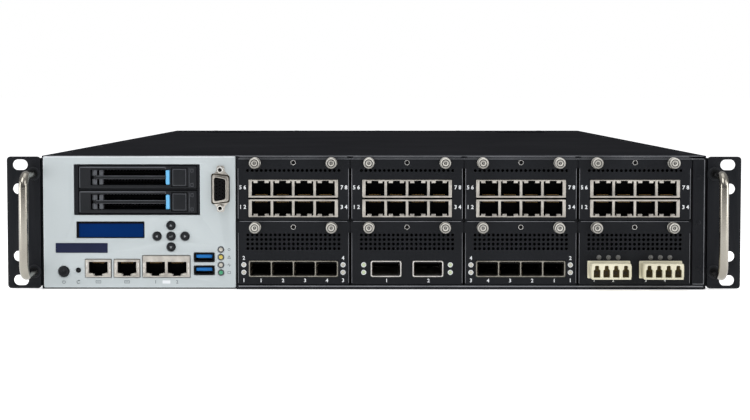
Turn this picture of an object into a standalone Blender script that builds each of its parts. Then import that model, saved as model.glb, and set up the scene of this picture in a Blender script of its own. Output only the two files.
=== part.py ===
"""Two-unit rack firewall appliance: chassis, control panel, drives, port modules, fans and supplies.

Metres, +Z up. The front looks towards -Y and X runs to the right as seen from the front. The origin
is the middle of the footprint, on the surface that the chassis stands on. The driving sizes come
first, then the shape tools, then one function for each sub-assembly.
"""

import math

import bmesh
import bpy
from mathutils import Matrix, Vector

# Fits
GAP = 0.0003            # between pieces that touch
RUN = 0.0004            # each side of a piece that slides
JOIN = 0.0005           # how far united shapes reach into each other

# Sheet metal
SHEET = 0.0012          # chassis, cover and cage
EAR_SHEET = 0.0020
PANEL_SHEET = 0.0020    # control panel
FACE_SHEET = 0.0012     # module faceplates
SLED_SHEET = 0.0010
SHELF_SHEET = 0.0008

# Chassis
CHASSIS_HEIGHT = 0.0880
CHASSIS_DEPTH = 0.6500
PANEL_WIDTH = 0.1266
MODULE_PITCH = 0.0748
MODULE_COLUMNS = 4
SIDE_REVEAL = 0.0016    # from the outside of a side wall to the panel beside it
PANEL_SEAM = 0.0006
RIGHT_STRIP = 0.0084    # plain strip right of the last module
HEM_HEIGHT = 0.0026     # folded front edge of the base under the modules
ROW_GAP = 0.0006
FACE_TOP_MARGIN = 0.0004
COVER_FLANGE = 0.0080
STRAP_DEPTH = 0.0130    # cross straps on top of the module cage

# Rack ears and handles
EAR_REACH = 0.0220
EAR_MARGIN = 0.0005     # shorter than the chassis, top and bottom
EAR_SIDE_DEPTH = 0.0600
EAR_SIDE_MARGIN = 0.0100
SLOT_INSET = 0.00875    # slot centre from the ear's outer edge
SLOT_LENGTH = 0.0100
SLOT_WIDTH = 0.0070
SLOT_HEIGHTS = (-0.0381, -0.02225, 0.02225, 0.0381)
HANDLE_REACH = 0.0316
HANDLE_BAR = 0.0032     # radius
HANDLE_LEGS = 0.0645    # between the two legs
HANDLE_BEND = 0.0075
HANDLE_INSET = 0.0043   # legs from the ear's inner edge
FERRULE_RADIUS = 0.0042
FERRULE_LENGTH = 0.0022

# Modules, from the middle of the faceplate's lower edge
FACE_SIDE_GAP = 0.0009
FLANGE_SIDE_GAP = 0.0002
FLANGE_DROP = 0.0075
THUMB_DROP = 0.0042
THUMB_SPREAD = 0.0251
THUMB_RADIUS = 0.0038
THUMB_NECK = 0.0026
THUMB_REACH = 0.0065
THUMB_STAND_OFF = 0.0012
VENT_DROP = 0.0092
VENT_PITCH = 0.0030
VENT_HOLE = 0.0018
VENT_GROUP = 7          # punched holes that one slot stands for
VENT_GROUPS = 3
SLED_DEPTH = 0.2000
SLED_WALL = 0.0110
SLED_FLOOR = 0.0005
BOARD_Z = 0.0036
BOARD_THICKNESS = 0.0016
BOARD_INSET = 0.0030
CHIP_FRONT = 0.0900
CHIP_HEIGHT = 0.0120
PLUG_SIZE = (0.0440, 0.0220, 0.0090)    # edge connector at the back of a module board
PLUG_REACH = 0.0080     # past the end of the sled
COPPER_CHIP = 0.0300    # side of the main chip's cooler on each kind of module
CAGE_CHIP = 0.0360
FIBRE_CHIP = 0.0260
PORT_PROUD = 0.0006
PORT_ROW_WIDTH = 0.0588

# Copper network ports
COPPER_COLUMNS = 4
COPPER_PITCH = 0.01406
COPPER_ROW = 0.0117
COPPER_ROW_GAP = 0.0012
COPPER_FLOOR = 0.0020
COPPER_DEPTH = 0.0240
JACK_WIDTH = 0.0114
JACK_HEIGHT = 0.0070
JACK_TAB_WIDTH = 0.0052
JACK_TAB_HEIGHT = 0.0023
JACK_DEPTH = 0.0125

# Pluggable optics and fibre adapters
CAGE_FLOOR = 0.0050
CAGE_HEIGHT = 0.0107
CAGE_WALL = 0.0010
CAGE_BACK = 0.0040
SFP_COUNT = 4
SFP_DEPTH = 0.0480
QSFP_WIDTH = 0.0202
QSFP_SPREAD = 0.0138
QSFP_DEPTH = 0.0560
ADAPTER_WIDTH = 0.0256
ADAPTER_HEIGHT = 0.0102
ADAPTER_SPREAD = 0.0170
ADAPTER_REACH = 0.0138
ADAPTER_DEPTH = 0.0120
ADAPTER_FLANGE = 0.0012
ADAPTER_FLANGE_DEPTH = 0.0022
FIBRE_COUNT = 4
FIBRE_PITCH = 0.00625
FIBRE_WIDTH = 0.0044
FIBRE_HEIGHT = 0.0078
FIBRE_DEPTH = 0.0110

# Control panel: X from its left edge, Z from the ground
DRIVE_CORNER = (0.0206, 0.0493)
LCD_WINDOW = (0.0219, 0.0340, 0.0443, 0.0104)      # left, bottom, width, height
LCD_RECESS = 0.0004
LCD_BORDER = 0.0040
LCD_DEPTH = 0.0060
PAD_CENTRE = (0.0840, 0.0350)
PAD_STEP_X = 0.0092
PAD_STEP_Z = 0.0071
PAD_RADIUS = 0.0026
POWER_CENTRE = (0.0131, 0.0116)
POWER_RADIUS = 0.0033
RESET_CENTRE = (0.0227, 0.0125)
RESET_RADIUS = 0.0014
RESET_RECESS = 0.0004
JACK_BOTTOM = 0.0080
MANAGEMENT_LEFT = 0.0275
CONSOLE_LEFT = 0.0464
LAN_LEFT = 0.0653
JACK_SIDE = 0.0027      # shell beside the opening
JACK_SILL = 0.0008      # shell below it
SMALL_JACK_HEIGHT = 0.0116
LAN_JACK_HEIGHT = 0.0141
JACK_BETWEEN = 0.0028
JACK_BODY_DEPTH = 0.0160
USB_LEFT = 0.0993
USB_WIDTH = 0.0130
USB_HEIGHT = 0.0056
USB_BOTTOMS = (0.0097, 0.0183)
USB_DEPTH = 0.0140
USB_WALL = 0.0005
USB_TONGUE = (0.0031, 0.0016)   # height of its underside, and its thickness
LED_X = 0.1168
LED_HEIGHTS = (0.0110, 0.0160, 0.0212, 0.0262)
LED_RADIUS = 0.0018
VGA_CENTRE = (0.1168, 0.0663)
VGA_SHELL = (0.0053, 0.0098, 0.0016)    # half width, half height and taper
VGA_REACH = 0.0060
VGA_FLANGE = (0.0062, 0.0155, 0.0090)   # half width, half height and depth
BUTTON_PROUD = 0.0010
BUTTON_FLANGE = 0.0008  # wider than the cap, and this thick
BUTTON_TRAVEL = 0.0009
PANEL_BOARD_SIDE = 0.0060
PANEL_BOARD_DEPTH = 0.0600
LAMP_BOARD_Y = 0.0125   # front of the upright board behind the buttons and lamps
LAMP_BOARD_TOP = 0.0454
POST_RADIUS = 0.0030

# Drives
CAGE_LEFT_WALL = 0.0026
CAGE_WEB = 0.0004
CAGE_DEPTH = 0.1250
CAGE_LEG_FRONT = 0.0700
CAGE_LEG_DEPTH = 0.0500
CAGE_PLUG = (0.0100, 0.0050)    # margin beside a drive's plug window, and its height
TRAY_WIDTH = 0.0776
TRAY_HEIGHT = 0.0150
TRAY_DEPTH = 0.1180
BEZEL_DEPTH = 0.0120
RAIL_WIDTH = 0.0022
RAIL_HEIGHT = 0.0090
DRIVE_LIFT = 0.0018     # from the underside of the rails
SSD_SIZE = (0.06985, 0.1000, 0.0070)
LEVER_LEFT = 0.0076     # its recess in the bezel
LEVER_LENGTH = 0.0524
LEVER_RECESS_HEIGHT = 0.0102
LEVER_RECESS_DEPTH = 0.0078
LEVER_BARREL = 0.0030   # radius
LEVER_BAR = 0.0020
LEVER_THICK = 0.0034
LEVER_TAB = 0.0026
AIR_SLOTS = 5
AIR_SLOT = (0.0070, 0.0026)
AIR_SLOT_PITCH = 0.0090
RELEASE_LEFT = 0.0610
RELEASE_WIDTH = 0.0101
RELEASE_MARGIN = 0.0014
RELEASE_DEPTH = 0.0050
RELEASE_TRAVEL = 0.0012

# Inside
BACKPLANE_Y = 0.2125    # from the front
BACKPLANE_SHEET = 0.0024
BACKPLANE_WINDOW = (0.0520, 0.0160, 0.0180)    # width, height, and height above a row's lower edge
MAINBOARD_Z = 0.0080
MAINBOARD_SIDE = 0.0070
MAINBOARD_BACK = 0.0120 # from the fans
SOCKET_SIZE = 0.0700
SOCKET_HEIGHT = 0.0070
PROCESSOR_Y = 0.1900    # from the backplane
MEMORY_SIZE = (0.0028, 0.1330, 0.0330)
MEMORY_COUNT = 4        # on each side of a processor
MEMORY_FIRST = 0.0500   # from the processor's middle
MEMORY_PITCH = 0.0075
HEATSINK = (0.0780, 0.1080, 0.0600)
HEATSINK_FOOT = 0.0080
HEATSINK_FINS = 11
FIN = 0.0012

# Rear
FAN_SIZE = 0.0800
FAN_COUNT = 4
FAN_DEPTH = 0.0380
FAN_SIDE = 0.0050       # from the chassis wall
FAN_BETWEEN = 0.0045
FAN_RIM = 0.0020
FAN_GUARD_LAP = 0.0010
FAN_GUARD_BAR = 0.0030
FAN_STAY = 0.0036
FAN_BORE_SIDES = 20
FAN_HUB = 0.0185
FAN_HUB_CHAMFER = 0.0020
FAN_HUB_CAP = 0.0030
FAN_TIP_GAP = 0.0005    # between a blade's corners and the flats of its bore
FAN_BLADES = 7
FAN_BLADE = (0.0016, 0.0220)
FAN_BLADE_TURN = 38.0
ROTOR_DEPTH = 0.0240
SUPPLY_WIDTH = 0.0735
SUPPLY_HEIGHT = 0.0394
SUPPLY_DEPTH = 0.1850
SUPPLY_WALL = 0.0014
SUPPLY_SIDE = 0.0040    # from the chassis wall
SUPPLY_PROUD = 0.0020
SUPPLY_END = 0.0180     # solid rear end that holds the inlet
INLET = (0.0080, 0.0090, 0.0270, 0.0210)    # left, bottom, width, height
INLET_DEPTH = 0.0160
INLET_PIN = (0.0110, 0.0080, 0.0130)        # width, height, length
GRIP_LEFT = 0.0410
GRIP_REACH = 0.0280     # of the supply's handle, from the rear wall
GRIP_BAR = 0.0030
GRIP_WIDTH = 0.0040
GRIP_MARGIN = 0.0040
LATCH_INSET = 0.0070    # from the supply's right side
LATCH_SLOT = (0.0080, 0.0220)               # bottom and height
LATCH_ROOT = 0.0110     # pivot, inside the rear face
LATCH_REACH = 0.0120
LATCH_BLADE = 0.0020
LATCH_THUMB = 0.0060
LATCH_SWING = 0.0030    # room for the blade to swing

# Places worked out from the sizes above
CHASSIS_WIDTH = (2 * SIDE_REVEAL + PANEL_WIDTH + PANEL_SEAM
                 + MODULE_COLUMNS * MODULE_PITCH + RIGHT_STRIP)
LEFT_X = -CHASSIS_WIDTH / 2
RIGHT_X = CHASSIS_WIDTH / 2
FRONT_Y = HANDLE_REACH - (HANDLE_REACH + CHASSIS_DEPTH + GRIP_REACH) / 2
REAR_Y = FRONT_Y + CHASSIS_DEPTH
PANEL_LEFT = LEFT_X + SIDE_REVEAL
PANEL_BACK = FRONT_Y + PANEL_SHEET + GAP
MODULES_LEFT = PANEL_LEFT + PANEL_WIDTH + PANEL_SEAM
MODULES_RIGHT = MODULES_LEFT + MODULE_COLUMNS * MODULE_PITCH
PANEL_BOTTOM = 0.0010
PANEL_TOP = CHASSIS_HEIGHT - FACE_TOP_MARGIN
LOWER_ROW = HEM_HEIGHT + ROW_GAP
FACE_HEIGHT = (PANEL_TOP - LOWER_ROW - ROW_GAP) / 2
UPPER_ROW = LOWER_ROW + FACE_HEIGHT + ROW_GAP
WALL_TOP = CHASSIS_HEIGHT - SHEET - GAP
SLED_WIDTH = MODULE_PITCH - SHEET - 2 * RUN
JACK_TALL = JACK_HEIGHT + JACK_TAB_HEIGHT
JACK_SHELL = JACK_WIDTH + 2 * JACK_SIDE
BAY_WIDTH = CAGE_LEFT_WALL + TRAY_WIDTH + SHEET + 2 * RUN
BAY_HEIGHT = 2 * TRAY_HEIGHT + 3 * CAGE_WEB + 4 * RUN
SUPPLY_RIGHT = RIGHT_X - SHEET - SUPPLY_SIDE
SUPPLY_LEFT = SUPPLY_RIGHT - SUPPLY_WIDTH
SUPPLY_FLOORS = (SHEET + RUN, 2 * SHEET + 3 * RUN + SUPPLY_HEIGHT)
BAY_WALL_X = SUPPLY_LEFT - RUN - SHEET
FAN_LEFT = LEFT_X + SHEET + FAN_SIDE
FAN_Z = SHEET + GAP + FAN_SIZE / 2
FAN_PITCH = FAN_SIZE + FAN_BETWEEN
FAN_BORE = FAN_SIZE / 2 - FAN_RIM
FAN_FRONT = REAR_Y - SHEET - GAP - FAN_DEPTH

BLACK_PAINT = ("black_paint", (0.016, 0.017, 0.020), 0.45, 0.0)
SILVER_PAINT = ("silver_paint", (0.52, 0.56, 0.58), 0.40, 0.1)
NICKEL = ("nickel", (0.72, 0.70, 0.66), 0.22, 1.0)
STEEL = ("zinc_steel", (0.60, 0.60, 0.58), 0.35, 1.0)
BLACK_PLASTIC = ("black_plastic", (0.014, 0.015, 0.017), 0.50, 0.0)
BLUE_PLASTIC = ("blue_plastic", (0.14, 0.45, 0.73), 0.40, 0.0)
IVORY_PLASTIC = ("ivory_plastic", (0.72, 0.68, 0.54), 0.45, 0.0)
DISPLAY = ("display_glass", (0.003, 0.024, 0.11), 0.12, 0.0)
BOARD = ("circuit_board", (0.02, 0.14, 0.06), 0.45, 0.0)
ALUMINIUM = ("aluminium", (0.66, 0.67, 0.68), 0.35, 1.0)


# Shape tools

def material(finish):
    """The Principled material of a finish: name, colour, roughness and metallic."""
    name, colour, roughness, metallic = finish
    found = bpy.data.materials.get(name)
    if found:
        return found
    made = bpy.data.materials.new(name)
    made.use_nodes = True
    shader = made.node_tree.nodes["Principled BSDF"]
    shader.inputs["Base Color"].default_value = (*colour, 1.0)
    shader.inputs["Roughness"].default_value = roughness
    shader.inputs["Metallic"].default_value = metallic
    return made


def to_mesh(bm):
    """Closes a bmesh into a mesh with its faces pointing out."""
    bmesh.ops.recalc_face_normals(bm, faces=bm.faces[:])
    mesh = bpy.data.meshes.new("shape")
    bm.to_mesh(mesh)
    bm.free()
    return mesh


def block(low, high):
    """A box between two opposite corners."""
    bm = bmesh.new()
    bmesh.ops.create_cube(bm, size=1.0)
    low, high = Vector(low), Vector(high)
    bmesh.ops.scale(bm, vec=high - low, verts=bm.verts[:])
    bmesh.ops.translate(bm, vec=(low + high) / 2, verts=bm.verts[:])
    return to_mesh(bm)


def rectangle(left, bottom, width, height):
    """The corners of a rectangle in the XZ plane."""
    right, top = left + width, bottom + height
    return [(left, bottom), (right, bottom), (right, top), (left, top)]


def grown(area, by):
    """A rectangle (left, bottom, width, height) with every side moved out."""
    left, bottom, width, height = area
    return (left - by, bottom - by, width + 2 * by, height + 2 * by)


def circle(x, z, radius, sides=12):
    """A regular polygon whose corners lie on a circle."""
    turns = [2 * math.pi * (k + 0.5) / sides for k in range(sides)]
    return [(x + radius * math.cos(t), z + radius * math.sin(t)) for t in turns]


def stadium(x, z, length, width, sides=6):
    """A slot with round ends, along X."""
    straight, radius = (length - width) / 2, width / 2
    turns = [math.pi * k / sides - math.pi / 2 for k in range(sides + 1)]
    right = [(x + straight + radius * math.cos(t), z + radius * math.sin(t)) for t in turns]
    left = [(2 * x - px, 2 * z - pz) for px, pz in right]
    return right + left


def jack_outline(x, z, tab_down=True):
    """The opening of a modular jack about its middle, with its latch step below or above."""
    half, tab, top = JACK_WIDTH / 2, JACK_TAB_WIDTH / 2, JACK_TALL / 2
    step = top - JACK_HEIGHT
    points = [(-half, top), (-half, step), (-tab, step), (-tab, -top),
              (tab, -top), (tab, step), (half, step), (half, top)]
    side = 1 if tab_down else -1
    return [(x + px, z + side * pz) for px, pz in points]


def plate(outline, holes, front, back):
    """A flat outline in XZ with holes through it, extruded along Y from front to back."""
    bm = bmesh.new()
    for loop in [outline, *holes]:
        verts = [bm.verts.new((x, front, z)) for x, z in loop]
        for a, b in zip(verts, verts[1:] + verts[:1]):
            bm.edges.new((a, b))
    bmesh.ops.triangle_fill(bm, use_beauty=True, edges=bm.edges[:], normal=(0, -1, 0))
    made = bmesh.ops.extrude_face_region(bm, geom=bm.faces[:])
    moved = [v for v in made["geom"] if isinstance(v, bmesh.types.BMVert)]
    bmesh.ops.translate(bm, vec=(0, back - front, 0), verts=moved)
    return to_mesh(bm)


def skinned(rings):
    """A solid through rings of points that have the same number of points, closed at both ends."""
    bm = bmesh.new()
    loops = [[bm.verts.new(point) for point in ring] for ring in rings]
    for a, b in zip(loops, loops[1:]):
        for k, corner in enumerate(a):
            n = (k + 1) % len(a)
            bm.faces.new((corner, a[n], b[n], b[k]))
    bm.faces.new(loops[0])
    bm.faces.new(loops[-1])
    return to_mesh(bm)


def turned(profile, centre, sides=12):
    """A solid turned about the Y axis through centre. The profile is (radius, y) from front to back."""
    x, y, z = centre
    return skinned([[(px, y + along, pz) for px, pz in circle(x, z, radius, sides)]
                    for radius, along in profile])


def post(x, y, low, high, radius, sides=12):
    """An upright round post."""
    return skinned([[(px, py, z) for px, py in circle(x, y, radius, sides)] for z in (low, high)])


def combined(base, joins=(), cuts=()):
    """One mesh: base united with each of joins, and then cut by each of cuts."""
    body = bpy.data.objects.new("body", base)
    bpy.context.scene.collection.objects.link(body)
    tools = []
    for operation, shapes in (("UNION", joins), ("DIFFERENCE", cuts)):
        for shape in shapes:
            tool = bpy.data.objects.new("tool", shape)
            bpy.context.scene.collection.objects.link(tool)
            modifier = body.modifiers.new(operation, "BOOLEAN")
            modifier.operation = operation
            modifier.solver = "EXACT"
            modifier.object = tool
            tools.append(tool)
    graph = bpy.context.evaluated_depsgraph_get()
    made = bpy.data.meshes.new_from_object(body.evaluated_get(graph))
    for used in [body, *tools]:
        bpy.data.objects.remove(used)
    return made


def holder(name, place):
    """An empty that carries the pieces of a sub-assembly."""
    made = bpy.data.objects.new(f"{name}_frame", None)
    made.location = place
    bpy.context.scene.collection.objects.link(made)
    return made


def add(name, mesh, finish, origin=(0, 0, 0), parent=None):
    """A named piece, with its mesh modelled about origin."""
    piece = bpy.data.objects.new(name, mesh)
    mesh.materials.clear()
    mesh.materials.append(material(finish))
    mesh.shade_smooth()
    mesh.set_sharp_from_angle(angle=math.radians(35))
    piece.location = origin
    piece.parent = parent
    bpy.context.scene.collection.objects.link(piece)
    return piece


def at_panel(x, z):
    """A place on the control panel, as world X and Z."""
    return PANEL_LEFT + x, z


def on_panel(area, by=0.0):
    """The corners of a panel area (left, bottom, width, height), with every side moved out."""
    left, bottom, width, height = grown(area, by)
    return rectangle(PANEL_LEFT + left, bottom, width, height)


# Chassis

def fan_centres():
    """The X of each fan's axis."""
    return [FAN_LEFT + FAN_SIZE / 2 + k * FAN_PITCH for k in range(FAN_COUNT)]


def guard_openings(x, z):
    """The four quarter openings of a fan guard."""
    inner, steps, radius = FAN_GUARD_BAR / 2, 6, FAN_BORE - FAN_GUARD_LAP
    first = math.asin(inner / radius)
    arc = [first + (math.pi / 2 - 2 * first) * k / steps for k in range(steps + 1)]
    quarter = [(inner, inner)] + [(radius * math.cos(t), radius * math.sin(t)) for t in arc]
    openings = []
    for turn in range(4):
        c, s = math.cos(turn * math.pi / 2), math.sin(turn * math.pi / 2)
        openings.append([(x + c * px - s * pz, z + s * px + c * pz) for px, pz in quarter])
    return openings


def build_chassis():
    """The base pan with its side and rear walls and the supply bay, and the cover on top of it."""
    floor = block((LEFT_X, PANEL_BACK, 0), (RIGHT_X, REAR_Y, SHEET))
    walls = [block((x, PANEL_BACK, 0), (x + SHEET, REAR_Y, WALL_TOP))
             for x in (LEFT_X, RIGHT_X - SHEET)]
    right = RIGHT_X - SIDE_REVEAL
    walls.append(block((MODULES_LEFT, FRONT_Y, 0), (right, FRONT_Y + FACE_SHEET, HEM_HEIGHT)))
    walls.append(block((MODULES_LEFT, FRONT_Y + JOIN, 0), (right, PANEL_BACK + JOIN, SHEET)))
    bay_front, bay_back, bay_top = REAR_Y - SUPPLY_DEPTH, REAR_Y - JOIN, SUPPLY_FLOORS[1] + SUPPLY_HEIGHT
    shelf_top = SUPPLY_FLOORS[1] - RUN
    walls.append(block((BAY_WALL_X, bay_front, SHEET - JOIN), (BAY_WALL_X + SHEET, bay_back, bay_top)))
    walls.append(block((BAY_WALL_X + JOIN, bay_front, shelf_top - SHEET),
                       (RIGHT_X - JOIN, bay_back, shelf_top)))
    openings = [opening for x in fan_centres() for opening in guard_openings(x, FAN_Z)]
    openings += [rectangle(*grown((SUPPLY_LEFT, z, SUPPLY_WIDTH, SUPPLY_HEIGHT), RUN)) for z in SUPPLY_FLOORS]
    rear = plate(rectangle(LEFT_X, 0, CHASSIS_WIDTH, WALL_TOP), openings, REAR_Y - SHEET, REAR_Y)
    add("chassis_base", combined(floor, [*walls, rear]), BLACK_PAINT)

    top = block((LEFT_X, PANEL_BACK, CHASSIS_HEIGHT - SHEET), (RIGHT_X, REAR_Y, CHASSIS_HEIGHT))
    front, back = PANEL_BACK + COVER_FLANGE, REAR_Y - COVER_FLANGE
    inside = SHEET + RUN
    flanges = [block((x, front, CHASSIS_HEIGHT - COVER_FLANGE), (x + SHEET, back, CHASSIS_HEIGHT - SHEET / 2))
               for x in (LEFT_X + inside, RIGHT_X - inside - SHEET)]
    add("top_cover", combined(top, flanges), BLACK_PAINT)


def build_module_cage():
    """The open frame of columns and rows that the modules slide into."""
    front = FRONT_Y + FACE_SHEET + GAP
    back = FRONT_Y + SLED_DEPTH + CAGE_BACK
    low, high = SHEET + GAP, WALL_TOP - GAP
    edges = [MODULES_LEFT + k * MODULE_PITCH for k in range(MODULE_COLUMNS + 1)]
    walls = [block((x - SHEET / 2, front, low), (x + SHEET / 2, back, high)) for x in edges]
    shelf_z = UPPER_ROW - ROW_GAP / 2
    shelf = block((edges[0] - SHEET / 2, front + JOIN, shelf_z - SHELF_SHEET / 2),
                  (edges[-1] + SHEET / 2, back - JOIN, shelf_z + SHELF_SHEET / 2))
    straps = [block((edges[0], y, high - SHEET), (edges[-1], y + STRAP_DEPTH, high - SHEET / 4))
              for y in (front + STRAP_DEPTH, back - STRAP_DEPTH - JOIN)]
    strip = block((MODULES_RIGHT + ROW_GAP, FRONT_Y, HEM_HEIGHT + GAP),
                  (RIGHT_X - SIDE_REVEAL, front + SHEET, high))
    tie = block((MODULES_RIGHT - SHEET / 4, front + JOIN / 2, LOWER_ROW + SHEET),
                (MODULES_RIGHT + RIGHT_STRIP / 2, front + SHEET - JOIN / 2, high - SHEET))
    add("module_cage", combined(walls[0], [*walls[1:], shelf, *straps, tie, strip]), BLACK_PAINT)


def build_ears():
    """The two rack ears, each an angle with four slots, and the bow handle on each."""
    middle = CHASSIS_HEIGHT / 2
    for side, name in ((-1, "left"), (1, "right")):
        inner = RIGHT_X + GAP
        outer = inner + EAR_REACH
        slots = [stadium(side * (outer - SLOT_INSET), middle + z, SLOT_LENGTH, SLOT_WIDTH)
                 for z in SLOT_HEIGHTS]
        left = min(side * inner, side * outer)
        front = plate(rectangle(left, EAR_MARGIN, EAR_REACH, CHASSIS_HEIGHT - 2 * EAR_MARGIN), slots,
                      FRONT_Y, FRONT_Y + EAR_SHEET)
        near, far = sorted((side * inner, side * (inner + EAR_SHEET)))
        flank = block((near, FRONT_Y + EAR_SHEET / 2, EAR_SIDE_MARGIN),
                      (far, FRONT_Y + EAR_SIDE_DEPTH, CHASSIS_HEIGHT - EAR_SIDE_MARGIN))
        add(f"ear_{name}", combined(front, [flank]), BLACK_PAINT)
        add(f"handle_{name}", handle_mesh(side * (inner + HANDLE_INSET), middle), NICKEL)


def handle_mesh(x, middle):
    """A round bar bent into a bow: out from the ear, along Z, and back, with a ferrule at each leg."""
    base, bar_y, half = FRONT_Y - GAP, FRONT_Y - HANDLE_REACH + HANDLE_BAR, HANDLE_LEGS / 2
    path = [(base, -half)]
    for t in (math.pi / 8 * k for k in range(5)):
        path.append((bar_y + HANDLE_BEND * (1 - math.sin(t)), -half + HANDLE_BEND * (1 - math.cos(t))))
    path += [(y, -z) for y, z in reversed(path)]
    rings = []
    for k, (y, z) in enumerate(path):
        before, after = path[max(k - 1, 0)], path[min(k + 1, len(path) - 1)]
        along = Vector((0, after[0] - before[0], after[1] - before[1])).normalized()
        across = Vector((1, 0, 0)).cross(along)
        place = Vector((x, y, middle + z))
        rings.append([place + Vector((px, 0, 0)) + across * pn for px, pn in circle(0, 0, HANDLE_BAR, 10)])
    ferrules = [turned([(FERRULE_RADIUS, -FERRULE_LENGTH), (FERRULE_RADIUS, 0)], (x, base, middle + z), 14)
                for z in (-half, half)]
    return combined(skinned(rings), ferrules)


# Modules

def faceplate(cutouts, vent_rows):
    """A module's faceplate with its vents, thumbscrews and the sled behind it, in the module's frame."""
    body, wide = MODULE_PITCH / 2 - FACE_SIDE_GAP, MODULE_PITCH / 2 - FLANGE_SIDE_GAP
    shoulder = FACE_HEIGHT - FLANGE_DROP
    outline = [(-body, 0), (body, 0), (body, shoulder), (wide, shoulder), (wide, FACE_HEIGHT),
               (-wide, FACE_HEIGHT), (-wide, shoulder), (-body, shoulder)]
    length = (VENT_GROUP - 1) * VENT_PITCH + VENT_HOLE
    vents = []
    for row in range(vent_rows):
        z = FACE_HEIGHT - VENT_DROP - row * VENT_PITCH
        for group in range(VENT_GROUPS):
            x = (group - (VENT_GROUPS - 1) / 2) * VENT_GROUP * VENT_PITCH
            vents.append(rectangle(x - length / 2, z - VENT_HOLE / 2, length, VENT_HOLE))
    face = plate(outline, [*cutouts, *vents], 0, FACE_SHEET)
    half, inside = SLED_WIDTH / 2, FACE_SHEET / 2
    floor = block((-half, inside, SLED_FLOOR), (half, SLED_DEPTH, SLED_FLOOR + SLED_SHEET))
    sides = [block((x, inside, SLED_FLOOR), (x + SLED_SHEET, SLED_DEPTH, SLED_WALL))
             for x in (-half, half - SLED_SHEET)]
    knob = [(THUMB_RADIUS, -THUMB_REACH), (THUMB_RADIUS, -THUMB_STAND_OFF),
            (THUMB_NECK, -THUMB_STAND_OFF), (THUMB_NECK, inside)]
    screws = [turned(knob, (x, 0, FACE_HEIGHT - THUMB_DROP)) for x in (-THUMB_SPREAD, THUMB_SPREAD)]
    return combined(face, [floor, *sides, *screws])


def module_board(start, chip):
    """A module's circuit board with its main chip and the edge connector at the back."""
    half = SLED_WIDTH / 2 - SLED_SHEET - GAP
    top = BOARD_Z + BOARD_THICKNESS
    board = block((-half, start, BOARD_Z), (half, SLED_DEPTH - BOARD_INSET, top))
    cooler = block((-chip / 2, CHIP_FRONT, top - JOIN), (chip / 2, CHIP_FRONT + chip, top + CHIP_HEIGHT))
    width, depth, height = PLUG_SIZE
    back = SLED_DEPTH + PLUG_REACH
    plug = block((-width / 2, back - depth, top - JOIN), (width / 2, back, top + height))
    return [board, cooler, plug]


def copper_ports():
    """Two rows of modular jacks on a module board, latches away from each other."""
    half, height = PORT_ROW_WIDTH / 2, 2 * COPPER_ROW + COPPER_ROW_GAP
    holes = []
    for row in range(2):
        z = COPPER_FLOOR + COPPER_ROW / 2 + row * (COPPER_ROW + COPPER_ROW_GAP)
        for column in range(COPPER_COLUMNS):
            x = (column - (COPPER_COLUMNS - 1) / 2) * COPPER_PITCH
            holes.append(jack_outline(x, z, tab_down=row == 0))
    front = plate(rectangle(-half, COPPER_FLOOR, PORT_ROW_WIDTH, height), holes, -PORT_PROUD, JACK_DEPTH)
    back = block((-half, JACK_DEPTH - JOIN, COPPER_FLOOR), (half, COPPER_DEPTH, COPPER_FLOOR + height))
    return combined(front, [back, *module_board(COPPER_DEPTH - JOIN, COPPER_CHIP)])


def cage_ports(cages, depth):
    """Pluggable cages, each (left, width, cells), on a module board."""
    shells, backs = [], []
    top = CAGE_FLOOR + CAGE_HEIGHT
    for left, width, cells in cages:
        cell = (width - CAGE_WALL) / cells
        holes = [rectangle(left + CAGE_WALL + k * cell, CAGE_FLOOR + CAGE_WALL, cell - CAGE_WALL,
                           CAGE_HEIGHT - 2 * CAGE_WALL) for k in range(cells)]
        shells.append(plate(rectangle(left, CAGE_FLOOR, width, CAGE_HEIGHT), holes, -PORT_PROUD, depth))
        backs.append(block((left, depth - JOIN, CAGE_FLOOR), (left + width, depth + CAGE_BACK, top)))
    board = module_board(FACE_SHEET + GAP, CAGE_CHIP)
    return combined(shells[0], [*shells[1:], *backs, *board])


def fibre_ports():
    """Two blocks of fibre adapters that stand out of the faceplate."""
    shells, backs = [], []
    half, top = ADAPTER_WIDTH / 2, CAGE_FLOOR + ADAPTER_HEIGHT
    sill = CAGE_FLOOR + (ADAPTER_HEIGHT - FIBRE_HEIGHT) / 2
    inner = FIBRE_DEPTH - ADAPTER_REACH
    for x in (-ADAPTER_SPREAD, ADAPTER_SPREAD):
        holes = [rectangle(x + (k - (FIBRE_COUNT - 1) / 2) * FIBRE_PITCH - FIBRE_WIDTH / 2, sill,
                           FIBRE_WIDTH, FIBRE_HEIGHT) for k in range(FIBRE_COUNT)]
        outline = rectangle(x - half, CAGE_FLOOR, ADAPTER_WIDTH, ADAPTER_HEIGHT)
        shells.append(plate(outline, holes, -ADAPTER_REACH, inner))
        backs.append(block((x - half, inner - JOIN, CAGE_FLOOR), (x + half, ADAPTER_DEPTH, top)))
        edge = half + ADAPTER_FLANGE
        backs.append(block((x - edge, -ADAPTER_FLANGE_DEPTH, CAGE_FLOOR - ADAPTER_FLANGE / 2),
                           (x + edge, -GAP, top + ADAPTER_FLANGE / 2)))
    board = module_board(FACE_SHEET + GAP, FIBRE_CHIP)
    return combined(shells[0], [*shells[1:], *backs, *board])


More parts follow.
